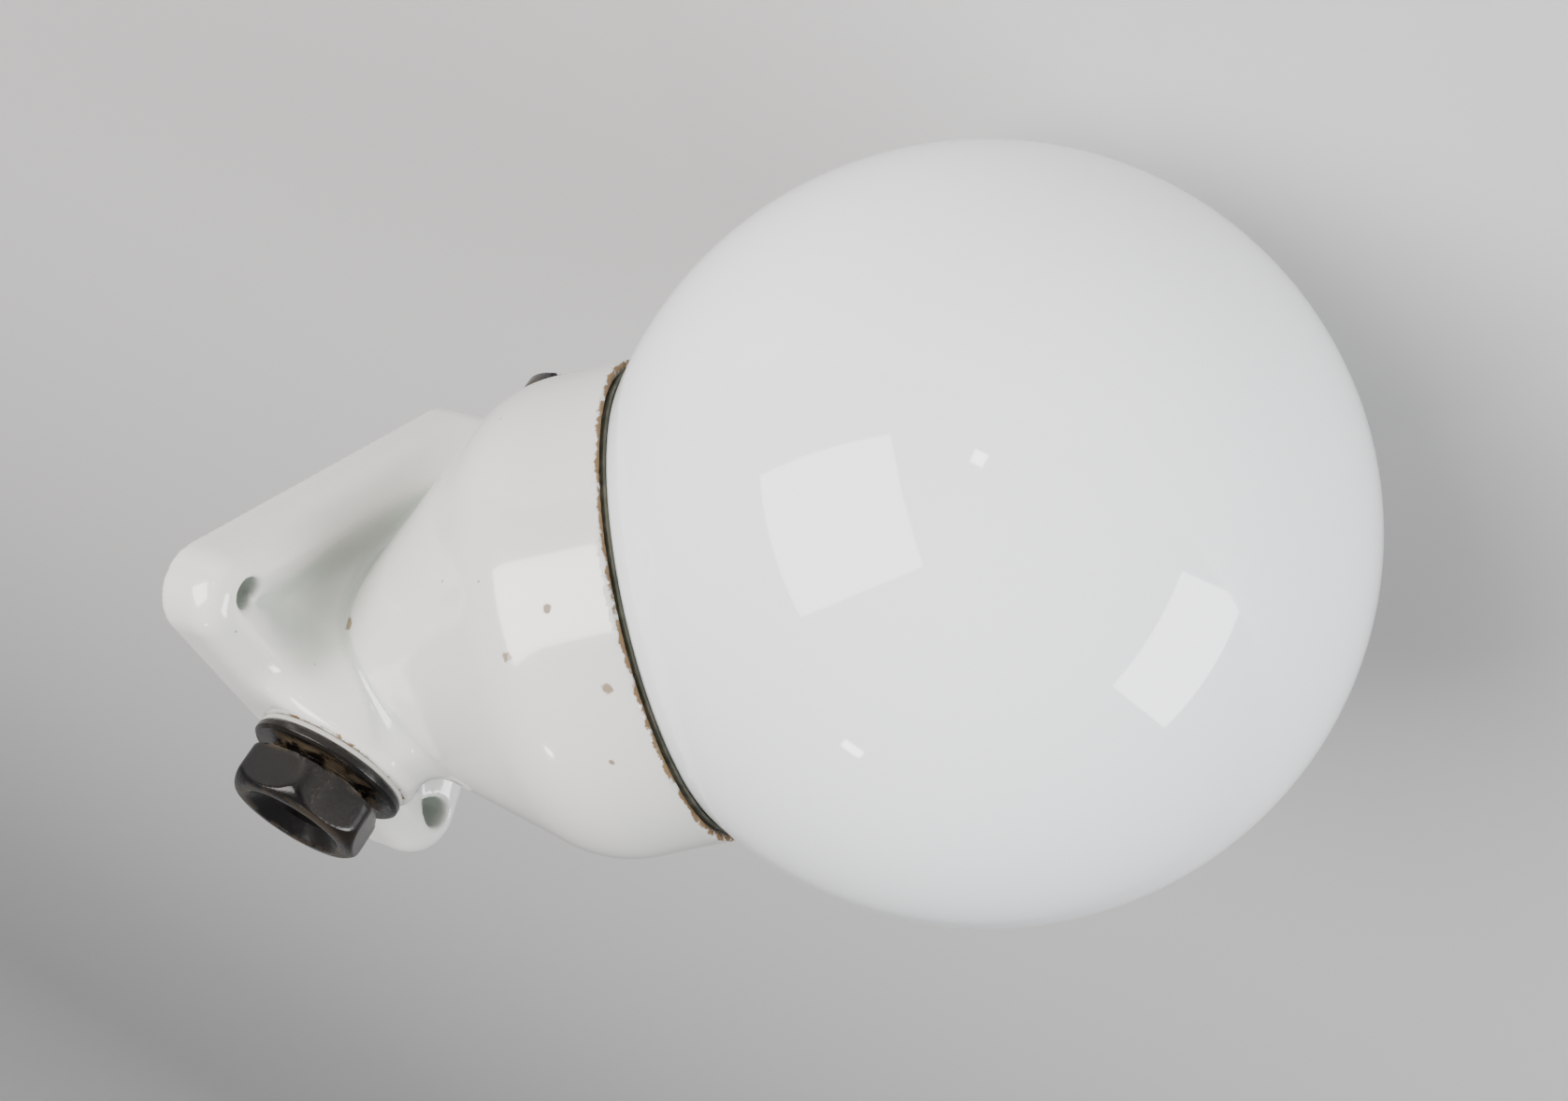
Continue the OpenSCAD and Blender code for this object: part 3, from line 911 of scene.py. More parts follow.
def carry(made: bpy.types.Object, name: str, values: np.ndarray) -> None:
    """Stores one value for each point of a piece, for its material to read."""
    made.data.attributes.new(name, "FLOAT", "POINT").data.foreach_set("value", values.astype(np.float32))


class Body(Enum):
    """The bodies that pieces ride on, by their names in the row."""

    BULB = "bulb"
    COMPRESSION_NUT = "compression_nut"
    GASKET_CARRIER = "gasket_carrier"
    GLOBE = "globe"
    HOUSING = "housing"
    PLUG = "plug"
    RING_CARRIER = "ring_carrier"
    WASHER_CARRIER = "washer_carrier"


def install(made: bpy.types.Object, body: Body, slot: str, *nodes: str) -> bpy.types.Object:
    """Hands a piece to the frame and reports it.

    Args:
        made: The piece.
        body: Body that it rides on.
        slot: Material slot of the record.
        nodes: CAD nodes that it stands for.

    Returns:
        The piece.
    """
    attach(made, body.value)
    if nodes:
        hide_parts(*nodes)
    LOG.info("%s: %d faces on %s", made.name, len(made.data.polygons), body.value)
    return made


# ---------------------------------------------------------------- sub-assemblies


@dataclass
class Layout:
    """Sizes that several sub-assemblies share, in millimetres."""

    tilt_deg: float = 30.0
    base_centre_z: float = -29.0
    neck_foot_z: float = 25.0
    rim: float = 84.0
    globe_at: float = 142.6
    globe_r: float = 75.0
    gland_out: float = 17.0
    base_h: float = 80.0
    plug_out: float = 19.0
    plug_boss_h: float = 10.5
    holder_at: float = 51.0
    tip_at: float = 66.0

    def neck(self) -> Axis:
        """The axis of collar, globe, lampholder and bulb."""
        lean = math.radians(self.tilt_deg)
        foot = (0.0, 0.0, self.base_centre_z + self.neck_foot_z)
        return Axis(foot, (0.0, -math.cos(lean), -math.sin(lean)))

    def on_neck(self, along: float) -> Axis:
        """The neck's axis with its origin moved along it."""
        neck = self.neck()
        origin = neck.to_row(np.array(((0.0, 0.0, along),)))[0]
        return Axis(tuple(origin), neck.way)

    def gland(self) -> Axis:
        """The cable gland's axis, outwards, with 0 at the porcelain's upper face."""
        return Axis((0.0, -self.gland_out, self.base_centre_z + self.base_h / 2.0), (0.0, 0.0, 1.0))

    def plug(self) -> Axis:
        """The blanking plug's axis, outwards, with 0 at the face of its boss."""
        face = self.base_centre_z - self.base_h / 2.0 - self.plug_boss_h
        return Axis((0.0, -self.plug_out, face), (0.0, 0.0, -1.0))


@dataclass(frozen=True)
class Mark:
    """A chip in the glaze, placed by its angle round the neck and its distance along it."""

    around_deg: float
    along: float
    off_axis: float
    size: float

    def place(self, layout: Layout) -> Point:
        """Where the mark is; the angle runs from the row's X towards the wide edge of the base."""
        turn, lean = math.radians(self.around_deg), math.radians(layout.tilt_deg)
        rise = self.off_axis * math.sin(turn)
        return (self.off_axis * math.cos(turn), -self.along * math.cos(lean) - rise * math.sin(lean),
                layout.neck().origin[2] - self.along * math.sin(lean) + rise * math.cos(lean))


@dataclass
class Porcelain:
    """The glazed body: triangular base, housing for the wires, plug boss, cone and collar."""

    layout: Layout
    top_w: float = 112.0
    low_w: float = 33.0
    corner_r: float = 10.0
    rim_h: float = 14.2
    dish: float = 5.6
    housing_r: float = 17.5
    boss_r: float = 13.0
    collar_r: float = 49.0
    collar_from: float = 59.0
    cone_deg: float = 36.0
    hole_x: float = 41.0
    hole_r: float = 3.25
    wall: float = 5.5
    socket_r: float = 42.95
    passage_r: float = 17.0
    wireway_from: float = 22.0
    ledge: tuple[float, float] = (46.0, 51.0)
    cell: float = 0.95
    marks: tuple[Mark, ...] = (
        Mark(36.0, 71.0, 49.0, 1.0), Mark(44.0, 61.0, 49.0, 1.2), Mark(46.0, 59.0, 49.0, 0.9),
        Mark(55.0, 78.0, 49.0, 1.1), Mark(72.0, 74.0, 49.0, 0.6), Mark(10.0, 18.0, 19.5, 1.4))

    def chips(self) -> tuple[tuple[Point, float], ...]:
        """The marks as places and radii for the glaze."""
        return tuple((mark.place(self.layout), mark.size) for mark in self.marks)

    def distance(self, points: np.ndarray) -> np.ndarray:
        """Signed distance of the whole body.

        Args:
            points: Rows of row millimetres.

        Returns:
            Distance in millimetres, negative inside the porcelain.
        """
        x, out, up = points[:, 0], -points[:, 1], points[:, 2] - self.layout.base_centre_z
        local = self.layout.neck().to_local(points)
        r, d = np.hypot(local[:, 0], local[:, 1]), local[:, 2]
        solid = soft_least(self.base(x, out, up), self.cone(r, d), self.crease(x, up))
        ring = np.hypot(x, out - self.layout.plug_out)
        below = -up - self.layout.base_h / 2.0
        boss = soft_most(ring - self.boss_r, np.maximum(below - self.layout.plug_boss_h, -below - 8.0), 1.0)
        solid = soft_least(solid, boss, 1.0)
        solid = soft_most(solid, -out, 0.8)
        return soft_most(solid, -self.hollow(points, x, out, up, local, r, d), 1.2)

    def outline(self, x: np.ndarray, up: np.ndarray) -> np.ndarray:
        """Distance to the base's outline, seen square to the wall."""
        half = self.layout.base_h / 2.0
        lean = math.atan((self.top_w - self.low_w) / 2.0 / self.layout.base_h)
        reach, drift = self.corner_r / math.cos(lean), self.corner_r * math.tan(lean)
        top_x, low_x = self.top_w / 2.0 - reach - drift, self.low_w / 2.0 - reach + drift
        level = half - self.corner_r
        corners = ((low_x, -level), (top_x, level), (-top_x, level), (-low_x, -level))
        return polygon_distance(x, up, corners) - self.corner_r

    def base(self, x: np.ndarray, out: np.ndarray, up: np.ndarray) -> np.ndarray:
        """The dished base with the housing that runs from the gland to the plug."""
        edge = self.outline(x, up)
        top = self.rim_h - self.dish * smooth_step(-edge, 4.5, 17.0)
        housing = np.hypot(x, np.maximum(out - self.layout.gland_out, 0.0)) - self.housing_r
        crown = soft_least((out - top) * 0.97, housing, 13.0)
        block = soft_most(np.abs(x) - self.housing_r, up - self.layout.base_h / 2.0, 1.0)
        block = block + 20.0 * smooth_step(up, 4.0, -4.0)
        plan = np.minimum(edge, block)
        near = smooth_step(np.abs(x), 26.0, 15.0) * smooth_step(out, 9.0, 15.0) * smooth_step(up, -10.0, 10.0)
        return soft_most(plan, crown, 7.0 - 5.0 * near)

    def cone(self, r: np.ndarray, d: np.ndarray) -> np.ndarray:
        """The cone and the collar that it swells into."""
        slope = math.radians(self.cone_deg)
        flare = (r - self.collar_r + (self.collar_from - d) * math.tan(slope)) * math.cos(slope)
        collar = r - self.collar_r - 0.4 * smooth_step(d, self.layout.rim, self.collar_from)
        return soft_most(soft_most(flare, collar, 5.0), d - self.layout.rim, 1.3)

    def crease(self, x: np.ndarray, up: np.ndarray) -> np.ndarray:
        """Width of the fillet between base and cone: tight in the valleys, wide on the housing."""
        return 0.5 + 9.0 * smooth_step(np.abs(x), 17.0, 3.0) * smooth_step(up, 8.0, 20.0)

    def hollow(self, points: np.ndarray, x: np.ndarray, out: np.ndarray, up: np.ndarray,
               local: np.ndarray, r: np.ndarray, d: np.ndarray) -> np.ndarray:
        """Everything that is cut out of the porcelain."""
        slope = math.radians(self.cone_deg)
        inner = r - (self.collar_r - (self.collar_from - d) * math.tan(slope)) + self.wall / math.cos(slope)
        socket = soft_most(inner * math.cos(slope), r - self.socket_r, 2.0)
        chamber = np.maximum(socket, self.ledge[1] - d)
        wireway = np.maximum(np.maximum(socket, d - self.ledge[0]), self.wireway_from - d)
        passage = np.maximum(r - self.passage_r, self.wireway_from - d)
        seat = np.linalg.norm(points - self.globe_centre(), axis=-1) - self.layout.globe_r - 1.4
        cut = np.minimum(np.minimum(chamber, wireway), np.minimum(passage, seat))
        for sense in (-1.0, 1.0):
            fixing = np.hypot(local[:, 0] - 24.0 * sense, local[:, 1]) - 2.2
            cut = np.minimum(cut, np.maximum(fixing, np.abs(d - 48.5) - 6.0))
            hole = np.hypot(x - self.hole_x * sense, up + self.layout.base_centre_z) - self.hole_r
            cut = soft_least(cut, np.maximum(hole, out - 30.0), 2.0)
        duct = np.hypot(x, np.maximum(out - self.layout.gland_out, 0.0)) - 12.0
        cut = np.minimum(cut, soft_most(duct, np.abs(up) - self.layout.base_h / 2.0 + 8.0, 3.0))
        gland_bore = np.hypot(x, out - self.layout.gland_out) - 11.25
        plug_bore = np.hypot(x, out - self.layout.plug_out) - 10.0
        cut = np.minimum(cut, np.maximum(gland_bore, 30.0 - up))
        cut = np.minimum(cut, np.maximum(plug_bore, up + 30.0))
        pocket = polygon_distance(x, up, ((13.5, -33.0), (30.0, 33.0), (-30.0, 33.0), (-13.5, -33.0)))
        return np.minimum(cut, soft_most(pocket, out - 4.5, 2.0))

    def globe_centre(self) -> np.ndarray:
        """Centre of the globe in row millimetres."""
        return self.layout.neck().to_row(np.array(((0.0, 0.0, self.layout.globe_at),)))[0]

    def build(self, finish: Finish) -> bpy.types.Object:
        """Meshes the body and gives it its pooling and grime.

        Args:
            finish: The glaze.

        Returns:
            The piece.
        """
        points, faces = surface_net(self.distance, (-54.0, -102.0, -94.0), (54.0, 3.0, 26.0), self.cell)
        made = piece("porcelain_shell", points, faces, finish, 60.0)
        reach = 2.2
        around = sum(self.distance(points + shift) for axis in range(3)
                     for shift in (np.eye(3)[axis] * reach, -np.eye(3)[axis] * reach))
        bend = -(around - 6.0 * self.distance(points)) / (reach * reach)
        out, up = -points[:, 1], points[:, 2] - self.layout.base_centre_z
        valley = smooth_step(-self.outline(points[:, 0], up), 5.0, 17.0) * smooth_step(out, 13.5, 8.5)
        # Real glaze gathering plus painted shade: concavity and the valley of the dished base make the
        # grey-green darker.
        carry(made, "pooling", np.clip(bend * 4.0 + 0.10 + 0.42 * valley, 0.0, 1.0))
        along = self.layout.neck().to_local(points)[:, 2]
        soil = smooth_step(along, self.layout.rim - 2.7, self.layout.rim - 0.8) * 0.9
        for axis, reach in ((self.layout.gland(), 16.7), (self.layout.plug(), 12.4)):
            near = axis.to_local(points)
            ring = np.hypot(near[:, 0], near[:, 1])
            stain = smooth_step(np.abs(near[:, 2]), 1.6, 0.2) * smooth_step(ring, reach + 1.0, reach)
            soil = np.maximum(soil, 0.66 * stain)
        carry(made, "grime", soil)
        return install(made, Body.HOUSING, "porcelain", "porcelain_body")


@dataclass
class Globe:
    """The opal glass ball with its screwed neck, and the gasket that it presses on."""

    layout: Layout
    glass: float = 3.0
    neck_r: float = 40.35
    thread_r: float = 42.25
    neck_len: float = 14.0
    pitch: float = 6.0
    turns: float = 1.4

    def shoulder(self) -> float:
        """Distance along the neck's axis where ball and glass neck meet."""
        return self.layout.globe_at - math.sqrt(self.layout.globe_r ** 2 - self.neck_r ** 2)

    def tree(self, finish: Finish) -> GeometryTree:
        """Writes the ball's shape as a Geometry Nodes tree.

        The section runs from the outer pole, through the neck's rim, to the inner pole. On either
        side of the rim it climbs the neck, and then follows the ball's arc to the pole.

        Args:
            finish: The glass.

        Returns:
            The tree.
        """
        tree = GeometryTree("blown_ball", {
            "Ball radius": self.layout.globe_r, "Ball centre": self.layout.globe_at, "Glass": self.glass,
            "Neck radius": self.neck_r, "Neck end": 66.0, "Thread depth": 1.9, "Pitch": self.pitch,
            "Turns": self.turns, "Columns": 192, "Rows": 340})
        grid, turn, way = tree.sheet("Columns", "Rows")
        inside = way.sign() * 0.5 + 0.5
        ball = tree.size("Ball radius") - inside * tree.size("Glass")
        neck = tree.size("Neck radius") - inside * (tree.size("Glass") + 0.5)
        start = math.pi - (neck / ball).arcsin()
        height = tree.size("Ball centre") + ball * start.cos() - tree.size("Neck end")
        gone = (abs(way) ** 1.6) * (height + ball * start)
        angle = start - (gone - height).most(0.0) / ball
        z = tree.size("Ball centre") + ball * angle.cos() + (gone - height).least(0.0)
        rounding = 1.0 - (gone / 0.9).least(1.0)
        radius = ball * angle.sin() + way.sign() * 0.7 * rounding * rounding
        ridges = None
        for whole in (0.0, 1.0):
            wound = turn / (2.0 * math.pi) + whole
            middle = tree.size("Neck end") + 2.6 + tree.size("Pitch") * wound
            ends = wound.step(0.0, 0.08) * (tree.size("Turns") - wound).step(0.0, 0.08)
            ridge = ends * (1.0 - (abs(z - middle) / 1.7).least(1.0) ** 2.5)
            ridges = ridge if ridges is None else ridges.most(ridge)
        radius = radius + ridges * tree.size("Thread depth") * (1.0 - inside)
        tree.wrap(grid, turn, radius, z, finish)
        return tree

    def build(self, finish: Finish) -> bpy.types.Object:
        """Blows the ball with its screwed neck.

        Args:
            finish: The glass.

        Returns:
            The piece.
        """
        sizes = {"Neck end": self.shoulder() - self.neck_len, "Thread depth": self.thread_r - self.neck_r}
        made = self.tree(finish).bake("opal_globe", self.layout.neck(), sizes, 60.0)
        return install(made, Body.GLOBE, "opal_glass", "glass_globe")

    def build_gasket(self, finish: Finish) -> bpy.types.Object:
        """Turns the rubber ring between the collar's seat and the globe.

        Args:
            finish: The rubber.

        Returns:
            The piece.
        """
        inner, outer, gap, thick = 43.4, 47.0, 0.2, 1.0
        centre = self.layout.globe_at

        def follow(radius: float, offset: float) -> tuple[float, float]:
            """A point at that radius, so far outside of the ball."""
            return radius, centre - math.sqrt((self.layout.globe_r + offset) ** 2 - radius * radius)

        radii = np.linspace(inner, outer, 9)
        rows = [follow(r, gap) for r in radii] + [follow(outer + 0.35, gap + thick / 2.0)]
        rows += [follow(r, gap + thick) for r in radii[::-1]]
        points, faces = turned(np.array(rows), self.layout.neck(), 192)
        made = piece("globe_seal_ring", points, faces, finish, 50.0)
        return install(made, Body.GASKET_CARRIER, "gasket_rubber", "globe_gasket")


@dataclass
class Gland:
    """A moulded cable gland: washer, screwed body, seal, slip ring and hexagonal nut."""

    layout: Layout
    flange_r: float = 16.5
    neck_r: float = 11.0
    nut_af: float = 27.0
    nut_from: float = 5.8
    nut_h: float = 9.2
    flange_top: float = 3.5
    pitch: float = 1.5

    def axis(self) -> Axis:
        """The gland's axis, outwards, with 0 at the porcelain."""
        return self.layout.gland()

    def build_washer(self, finish: Finish) -> bpy.types.Object:
        """The thin washer under the flange."""
        made = lathe("gland_washer", washer(11.6, 16.2, 0.1, 1.1), self.axis(), finish)
        return install(made, Body.HOUSING, "grey_rubber", "gland_gasket")

    def build_body(self, finish: Finish) -> bpy.types.Object:
        """The flange, its threaded neck and the spigot in the porcelain."""
        corners = [
            Corner(7.0, -7.0, 0.4), Corner(11.1, -7.0, 0.5), Corner(11.1, 1.2, 0.0),
            Corner(16.1, 1.2, 0.4), Corner(self.flange_r, 1.7, 0.3), Corner(self.flange_r, 2.9, 0.3),
            Corner(15.8, self.flange_top, 0.4), Corner(12.4, self.flange_top, 0.4), Corner(10.9, 3.9, 0.3)]
        rows = [profile(corners), [(self.neck_r, z) for z in np.arange(4.0, 11.75, 0.15)],
                [(10.5, 12.0), (9.5, 12.0), (9.0, 11.6), (9.0, 4.0), (7.0, 4.0)]]
        thread = round_thread(self.neck_r, 4.0, 11.7, self.pitch, 0.75)
        section = np.concatenate([np.array(r) for r in rows])
        points, faces = turned(section, self.axis(), 96, thread)
        made = piece("gland_neck", points, faces, finish, 50.0)
        carry(made, "grime", self.dust(points))
        return install(made, Body.HOUSING, "bakelite", "gland_body")

    def dust(self, points: np.ndarray) -> np.ndarray:
        """How much dirt has settled at each point: most in the groove between flange and nut."""
        local = self.axis().to_local(points)
        ring = np.hypot(local[:, 0], local[:, 1])
        groove = smooth_step(np.abs(local[:, 2] - 4.7), 1.9, 0.7) * smooth_step(ring, 15.5, 13.0)
        mouth = smooth_step(local[:, 2], 14.2, 14.9) * smooth_step(ring, 9.6, 10.4) * 0.25
        return np.clip(groove + mouth, 0.0, 1.0)

    def build_nut(self, finish: Finish) -> bpy.types.Object:
        """The hexagonal compression nut with its chamfered mouth."""
        top, low = self.nut_from + self.nut_h, self.nut_from
        corner = self.nut_af / 2.0 / math.cos(math.pi / 6.0)
        rows = [(11.5, low + 0.3), (11.8, low), (12.4, low), (13.0, low), (corner - 1.6, low + 0.02),
                (corner - 0.7, low + 0.45), (corner, low + 1.1)]
        rows += [(corner, z) for z in np.linspace(low + 1.6, top - 4.2, 8)]
        rows += [(corner - 0.1 - 3.4 * t ** 1.5, top - 4.0 + 4.0 * math.sin(t * math.pi / 2.0) * 0.985)
                 for t in np.linspace(0.05, 1.0, 14)]
        rows += [(corner - 4.1, top), (10.9, top), (10.4, top - 0.2), (10.0, top - 0.7), (7.9, top - 2.7),
                 (7.5, top - 3.1), (7.5, 10.85), (7.7, 10.6), (8.6, 10.6), (8.7, 10.8), (8.7, 12.3),
                 (11.3, 12.3), (11.5, 12.1)]
        points, faces = turned(np.array(rows), self.axis(), 192, hexagon(self.nut_af))
        made = piece("hex_nut", points, faces, finish, 32.0)
        carry(made, "grime", self.dust(points))
        return install(made, Body.COMPRESSION_NUT, "bakelite", "gland_nut")

    def build_seal(self, rubber: Finish, steel: Finish) -> None:
        """The rubber seal in its pocket and the steel ring on it.

        Args:
            rubber: Finish of the seal.
            steel: Finish of the ring.
        """
        seal = [Corner(6.0, 4.1, 0.5), Corner(8.9, 4.1, 0.3), Corner(8.9, 9.1, 0.5), Corner(6.0, 9.1, 0.8)]
        made = lathe("cable_seal", profile(seal), self.axis(), rubber, 72)
        install(made, Body.HOUSING, "grey_rubber", "gland_seal")
        made = lathe("slip_ring", washer(6.5, 8.7, 9.2, 10.2, 0.2), self.axis(), steel, 72)
        install(made, Body.RING_CARRIER, "plated_steel", "gland_slip_ring")


@dataclass
class Plug:
    """The moulded blanking plug in the second entry, and its washer."""

    layout: Layout
    head_r: float = 12.8
    shank_r: float = 9.85
    pitch: float = 1.5
    slot: tuple[float, float] = (2.0, 2.0)

    def build_washer(self, finish: Finish) -> bpy.types.Object:
        """The thin washer under the head."""
        made = lathe("plug_seat_ring", washer(10.2, 12.6, 0.1, 1.1), self.layout.plug(), finish)
        return install(made, Body.WASHER_CARRIER, "grey_rubber", "plug_washer")

    def build_plug(self, finish: Finish) -> bpy.types.Object:
        """The threaded shank and the slotted, bevelled head.

        Args:
            finish: The moulded resin.

        Returns:
            The piece.
        """
        width, depth = self.slot
        top = 5.7
        rows = [(0.0, -7.0), (self.shank_r - 0.8, -7.0), (self.shank_r - 0.2, -6.6)]
        rows += [(self.shank_r, z) for z in np.arange(-6.4, -0.2, 0.15)]
        rows += [(self.shank_r - 0.35, 0.2), (self.shank_r - 0.35, 1.2), (self.head_r - 0.4, 1.2),
                 (self.head_r, 1.6), (self.head_r, top - 1.3), (self.head_r - 0.3, top - 0.8),
                 (self.head_r - 1.1, top - 0.1), (self.head_r - 1.6, top), (0.0, top)]
        thread = round_thread(self.shank_r, -6.8, -0.6, self.pitch, 0.7)
        made = lathe("plug_head", np.array(rows), self.layout.plug(), finish, 160, thread)
        reach = self.head_r + 2.0
        block = np.array([(x, y, z) for x in (-reach, reach) for y in (-width / 2.0, width / 2.0)
                          for z in (top - depth, top + 3.0)])
        sides = ((0, 1, 3, 2), (4, 6, 7, 5), (0, 4, 5, 1), (2, 3, 7, 6), (0, 2, 6, 4), (1, 5, 7, 3))
        carve(made, piece("plug_slot_tool", self.layout.plug().to_row(block), sides, finish))
        local = self.layout.plug().to_local(np.array([v.co for v in made.data.vertices]) / MM)
        carry(made, "grime", smooth_step(local[:, 2], 2.2, 1.3) * 0.8)
        return install(made, Body.PLUG, "bakelite", "blanking_plug")


def threaded_tube(finish: Finish) -> GeometryTree:
    """A tree for a thin tube whose wall is rolled into a round thread.

    The section runs from one rim along the outside to the other rim and back along the inside.

    Args:
        finish: What the tube is made of.

    Returns:
        The tree.
    """
    tree = GeometryTree(f"rolled_thread_{finish.name}", {
        "Radius": 13.0, "Wall": 0.5, "Thread depth": 1.1, "Pitch": 3.62, "Length": 24.0, "Plain start": 1.0,
        "Plain end": 1.0, "Start radius": 13.0, "End radius": 13.0, "Columns": 120, "Rows": 240})
    grid, turn, way = tree.sheet("Columns", "Rows")
    z = tree.size("Length") * (1.0 - abs(way))
    left = tree.size("Length") - z
    wall = tree.size("Wall") * 0.5
    edge = (z.least(left) / wall).least(1.0)
    rounding = (1.0 - (1.0 - edge) ** 2.0).most(0.0).root()
    start = 1.0 - (z / tree.size("Plain start")).step(0.4, 1.0)
    end = 1.0 - (left / tree.size("Plain end")).step(0.4, 1.0)
    wave = (z * (2.0 * math.pi) / tree.size("Pitch") - turn).cos() * (1.0 - start) * (1.0 - end)
    middle = tree.size("Radius") + wave * tree.size("Thread depth") * 0.5
    middle = middle + start * (tree.size("Start radius") - tree.size("Radius"))
    middle = middle + end * (tree.size("End radius") - tree.size("Radius"))
    tree.wrap(grid, turn, middle - way.sign() * wall * rounding, z, finish)
    return tree


def row_of(source: bpy.types.Object, finish: Finish) -> GeometryTree:
    """A tree that repeats a fastener in a row, each one turned as a hand would have left it.

    Args:
        source: The fastener, about local z.
        finish: Its metal.

    Returns:
        The tree.
    """
    tree = GeometryTree(f"row_of_{source.name}", {"Count": 2, "Gap x": 48.0, "Gap y": 0.0, "Height": 0.0})
    share = 0.5 * (tree.size("Count") - 1.0)
    gap_x, gap_y = tree.size("Gap x"), tree.size("Gap y")
    start = tree.vector(-1.0 * gap_x * share, -1.0 * gap_y * share, tree.size("Height"))
    line = tree.add("GeometryNodeMeshLine", {"mode": "OFFSET"}, {
        "Count": tree.size("Count"), "Start Location": start, "Offset": tree.vector(gap_x, gap_y, 0.0)})
    spin = tree.add("FunctionNodeRandomValue", {"data_type": "FLOAT"}, {"Seed": 5})
    for socket in spin.inputs:
        if socket.enabled and socket.name == "Max":
            socket.default_value = math.pi
    angle = next(socket for socket in spin.outputs if socket.enabled)
    shape = tree.add("GeometryNodeObjectInfo", values={"Object": source}).outputs["Geometry"]
    placed = tree.add("GeometryNodeInstanceOnPoints", values={
        "Points": line.outputs[0], "Instance": shape, "Rotation": tree.vector(0.0, 0.0, Wire(tree, angle))})
    tree.close(placed.outputs[0], finish)
    return tree


@dataclass
class Fastener:
    """A small screw or nut that is drawn once and repeated."""

    name: str
    finish: Finish

    def repeat(self, piece_name: str, source: bpy.types.Object, axis: Axis, sizes: dict) -> bpy.types.Object:
        """Repeats the drawn fastener and removes the drawing.

        Args:
            piece_name: Name of the piece.
            source: The drawing, in millimetres about local z.
            axis: Frame of the row.
            sizes: Inputs of the row's tree.

        Returns:
            The piece.
        """
        made = row_of(source, self.finish).bake(piece_name, axis, sizes, 32.0)
        bpy.data.objects.remove(source)
        return made

    def drawing(self, rows: Sequence[tuple[float, float]], shape: Optional[Shape] = None
                ) -> bpy.types.Object:
        """Turns a section, in millimetres about local z, as the object to repeat."""
        points, faces = turned(np.array(rows), LOCAL, 48, shape)
        mesh = bpy.data.meshes.new(self.name)
        mesh.from_pydata(points.tolist(), [], faces)
        made = bpy.data.objects.new(self.name, mesh)
        bpy.context.scene.collection.objects.link(made)
        return made

    def screw(self, stem: Point, head: Point, slot: tuple[float, float]) -> bpy.types.Object:
        """Draws a screw with a slotted pan head.

        Args:
            stem: Radius, lowest and highest height of the threaded stem.
            head: Radius, lowest and highest height of the head.
            slot: Width and depth of the slot.

        Returns:
            The drawing.
        """
        radius, low, high = stem
        pitch = 0.7
        wide, foot, top = head
        rows = [(0.0, low), (radius - 0.4, low), (radius, low + 0.4)]
        rows += [(radius, z) for z in np.arange(low + 0.5, high, pitch / 6.0)]
        rows += [(radius, foot), (wide - 0.15, foot), (wide, foot + 0.2), (wide, foot + 0.45 * (top - foot))]
        rows += [(wide - 0.5 + 0.5 * math.cos(a), top - 0.5 + 0.5 * math.sin(a))
                 for a in (0.3, 0.7, 1.1, 1.4)]
        rows += [(wide * 0.6, top + 0.05), (0.0, top + 0.1)]
        made = self.drawing(rows, round_thread(radius, low + 0.4, high - 0.3, pitch, 0.28))
        bpy.ops.mesh.primitive_cube_add(size=1.0, location=(0.0, 0.0, top + 1.0 - slot[1]))
        cutter = bpy.context.object
        cutter.scale = (2.4 * wide, slot[0], 2.0)
        carve(made, cutter)
        return made

    def nut(self, flats: float, bore: float, low: float, high: float) -> bpy.types.Object:
        """Draws a chamfered hexagonal nut.

        Args:
            flats: Width across the flats.
            bore: Radius of the hole.
            low: Height of its lower face.
            high: Height of its upper face.

        Returns:
            The drawing.
        """
        corner = flats / 2.0 / math.cos(math.pi / 6.0)
        rows = [(bore, low + 0.2), (bore + 0.2, low), (flats * 0.47, low), (corner, low + 0.45),
                (corner, high - 0.45), (flats * 0.47, high), (bore + 0.2, high), (bore, high - 0.2)]
        return self.drawing(rows, hexagon(flats))


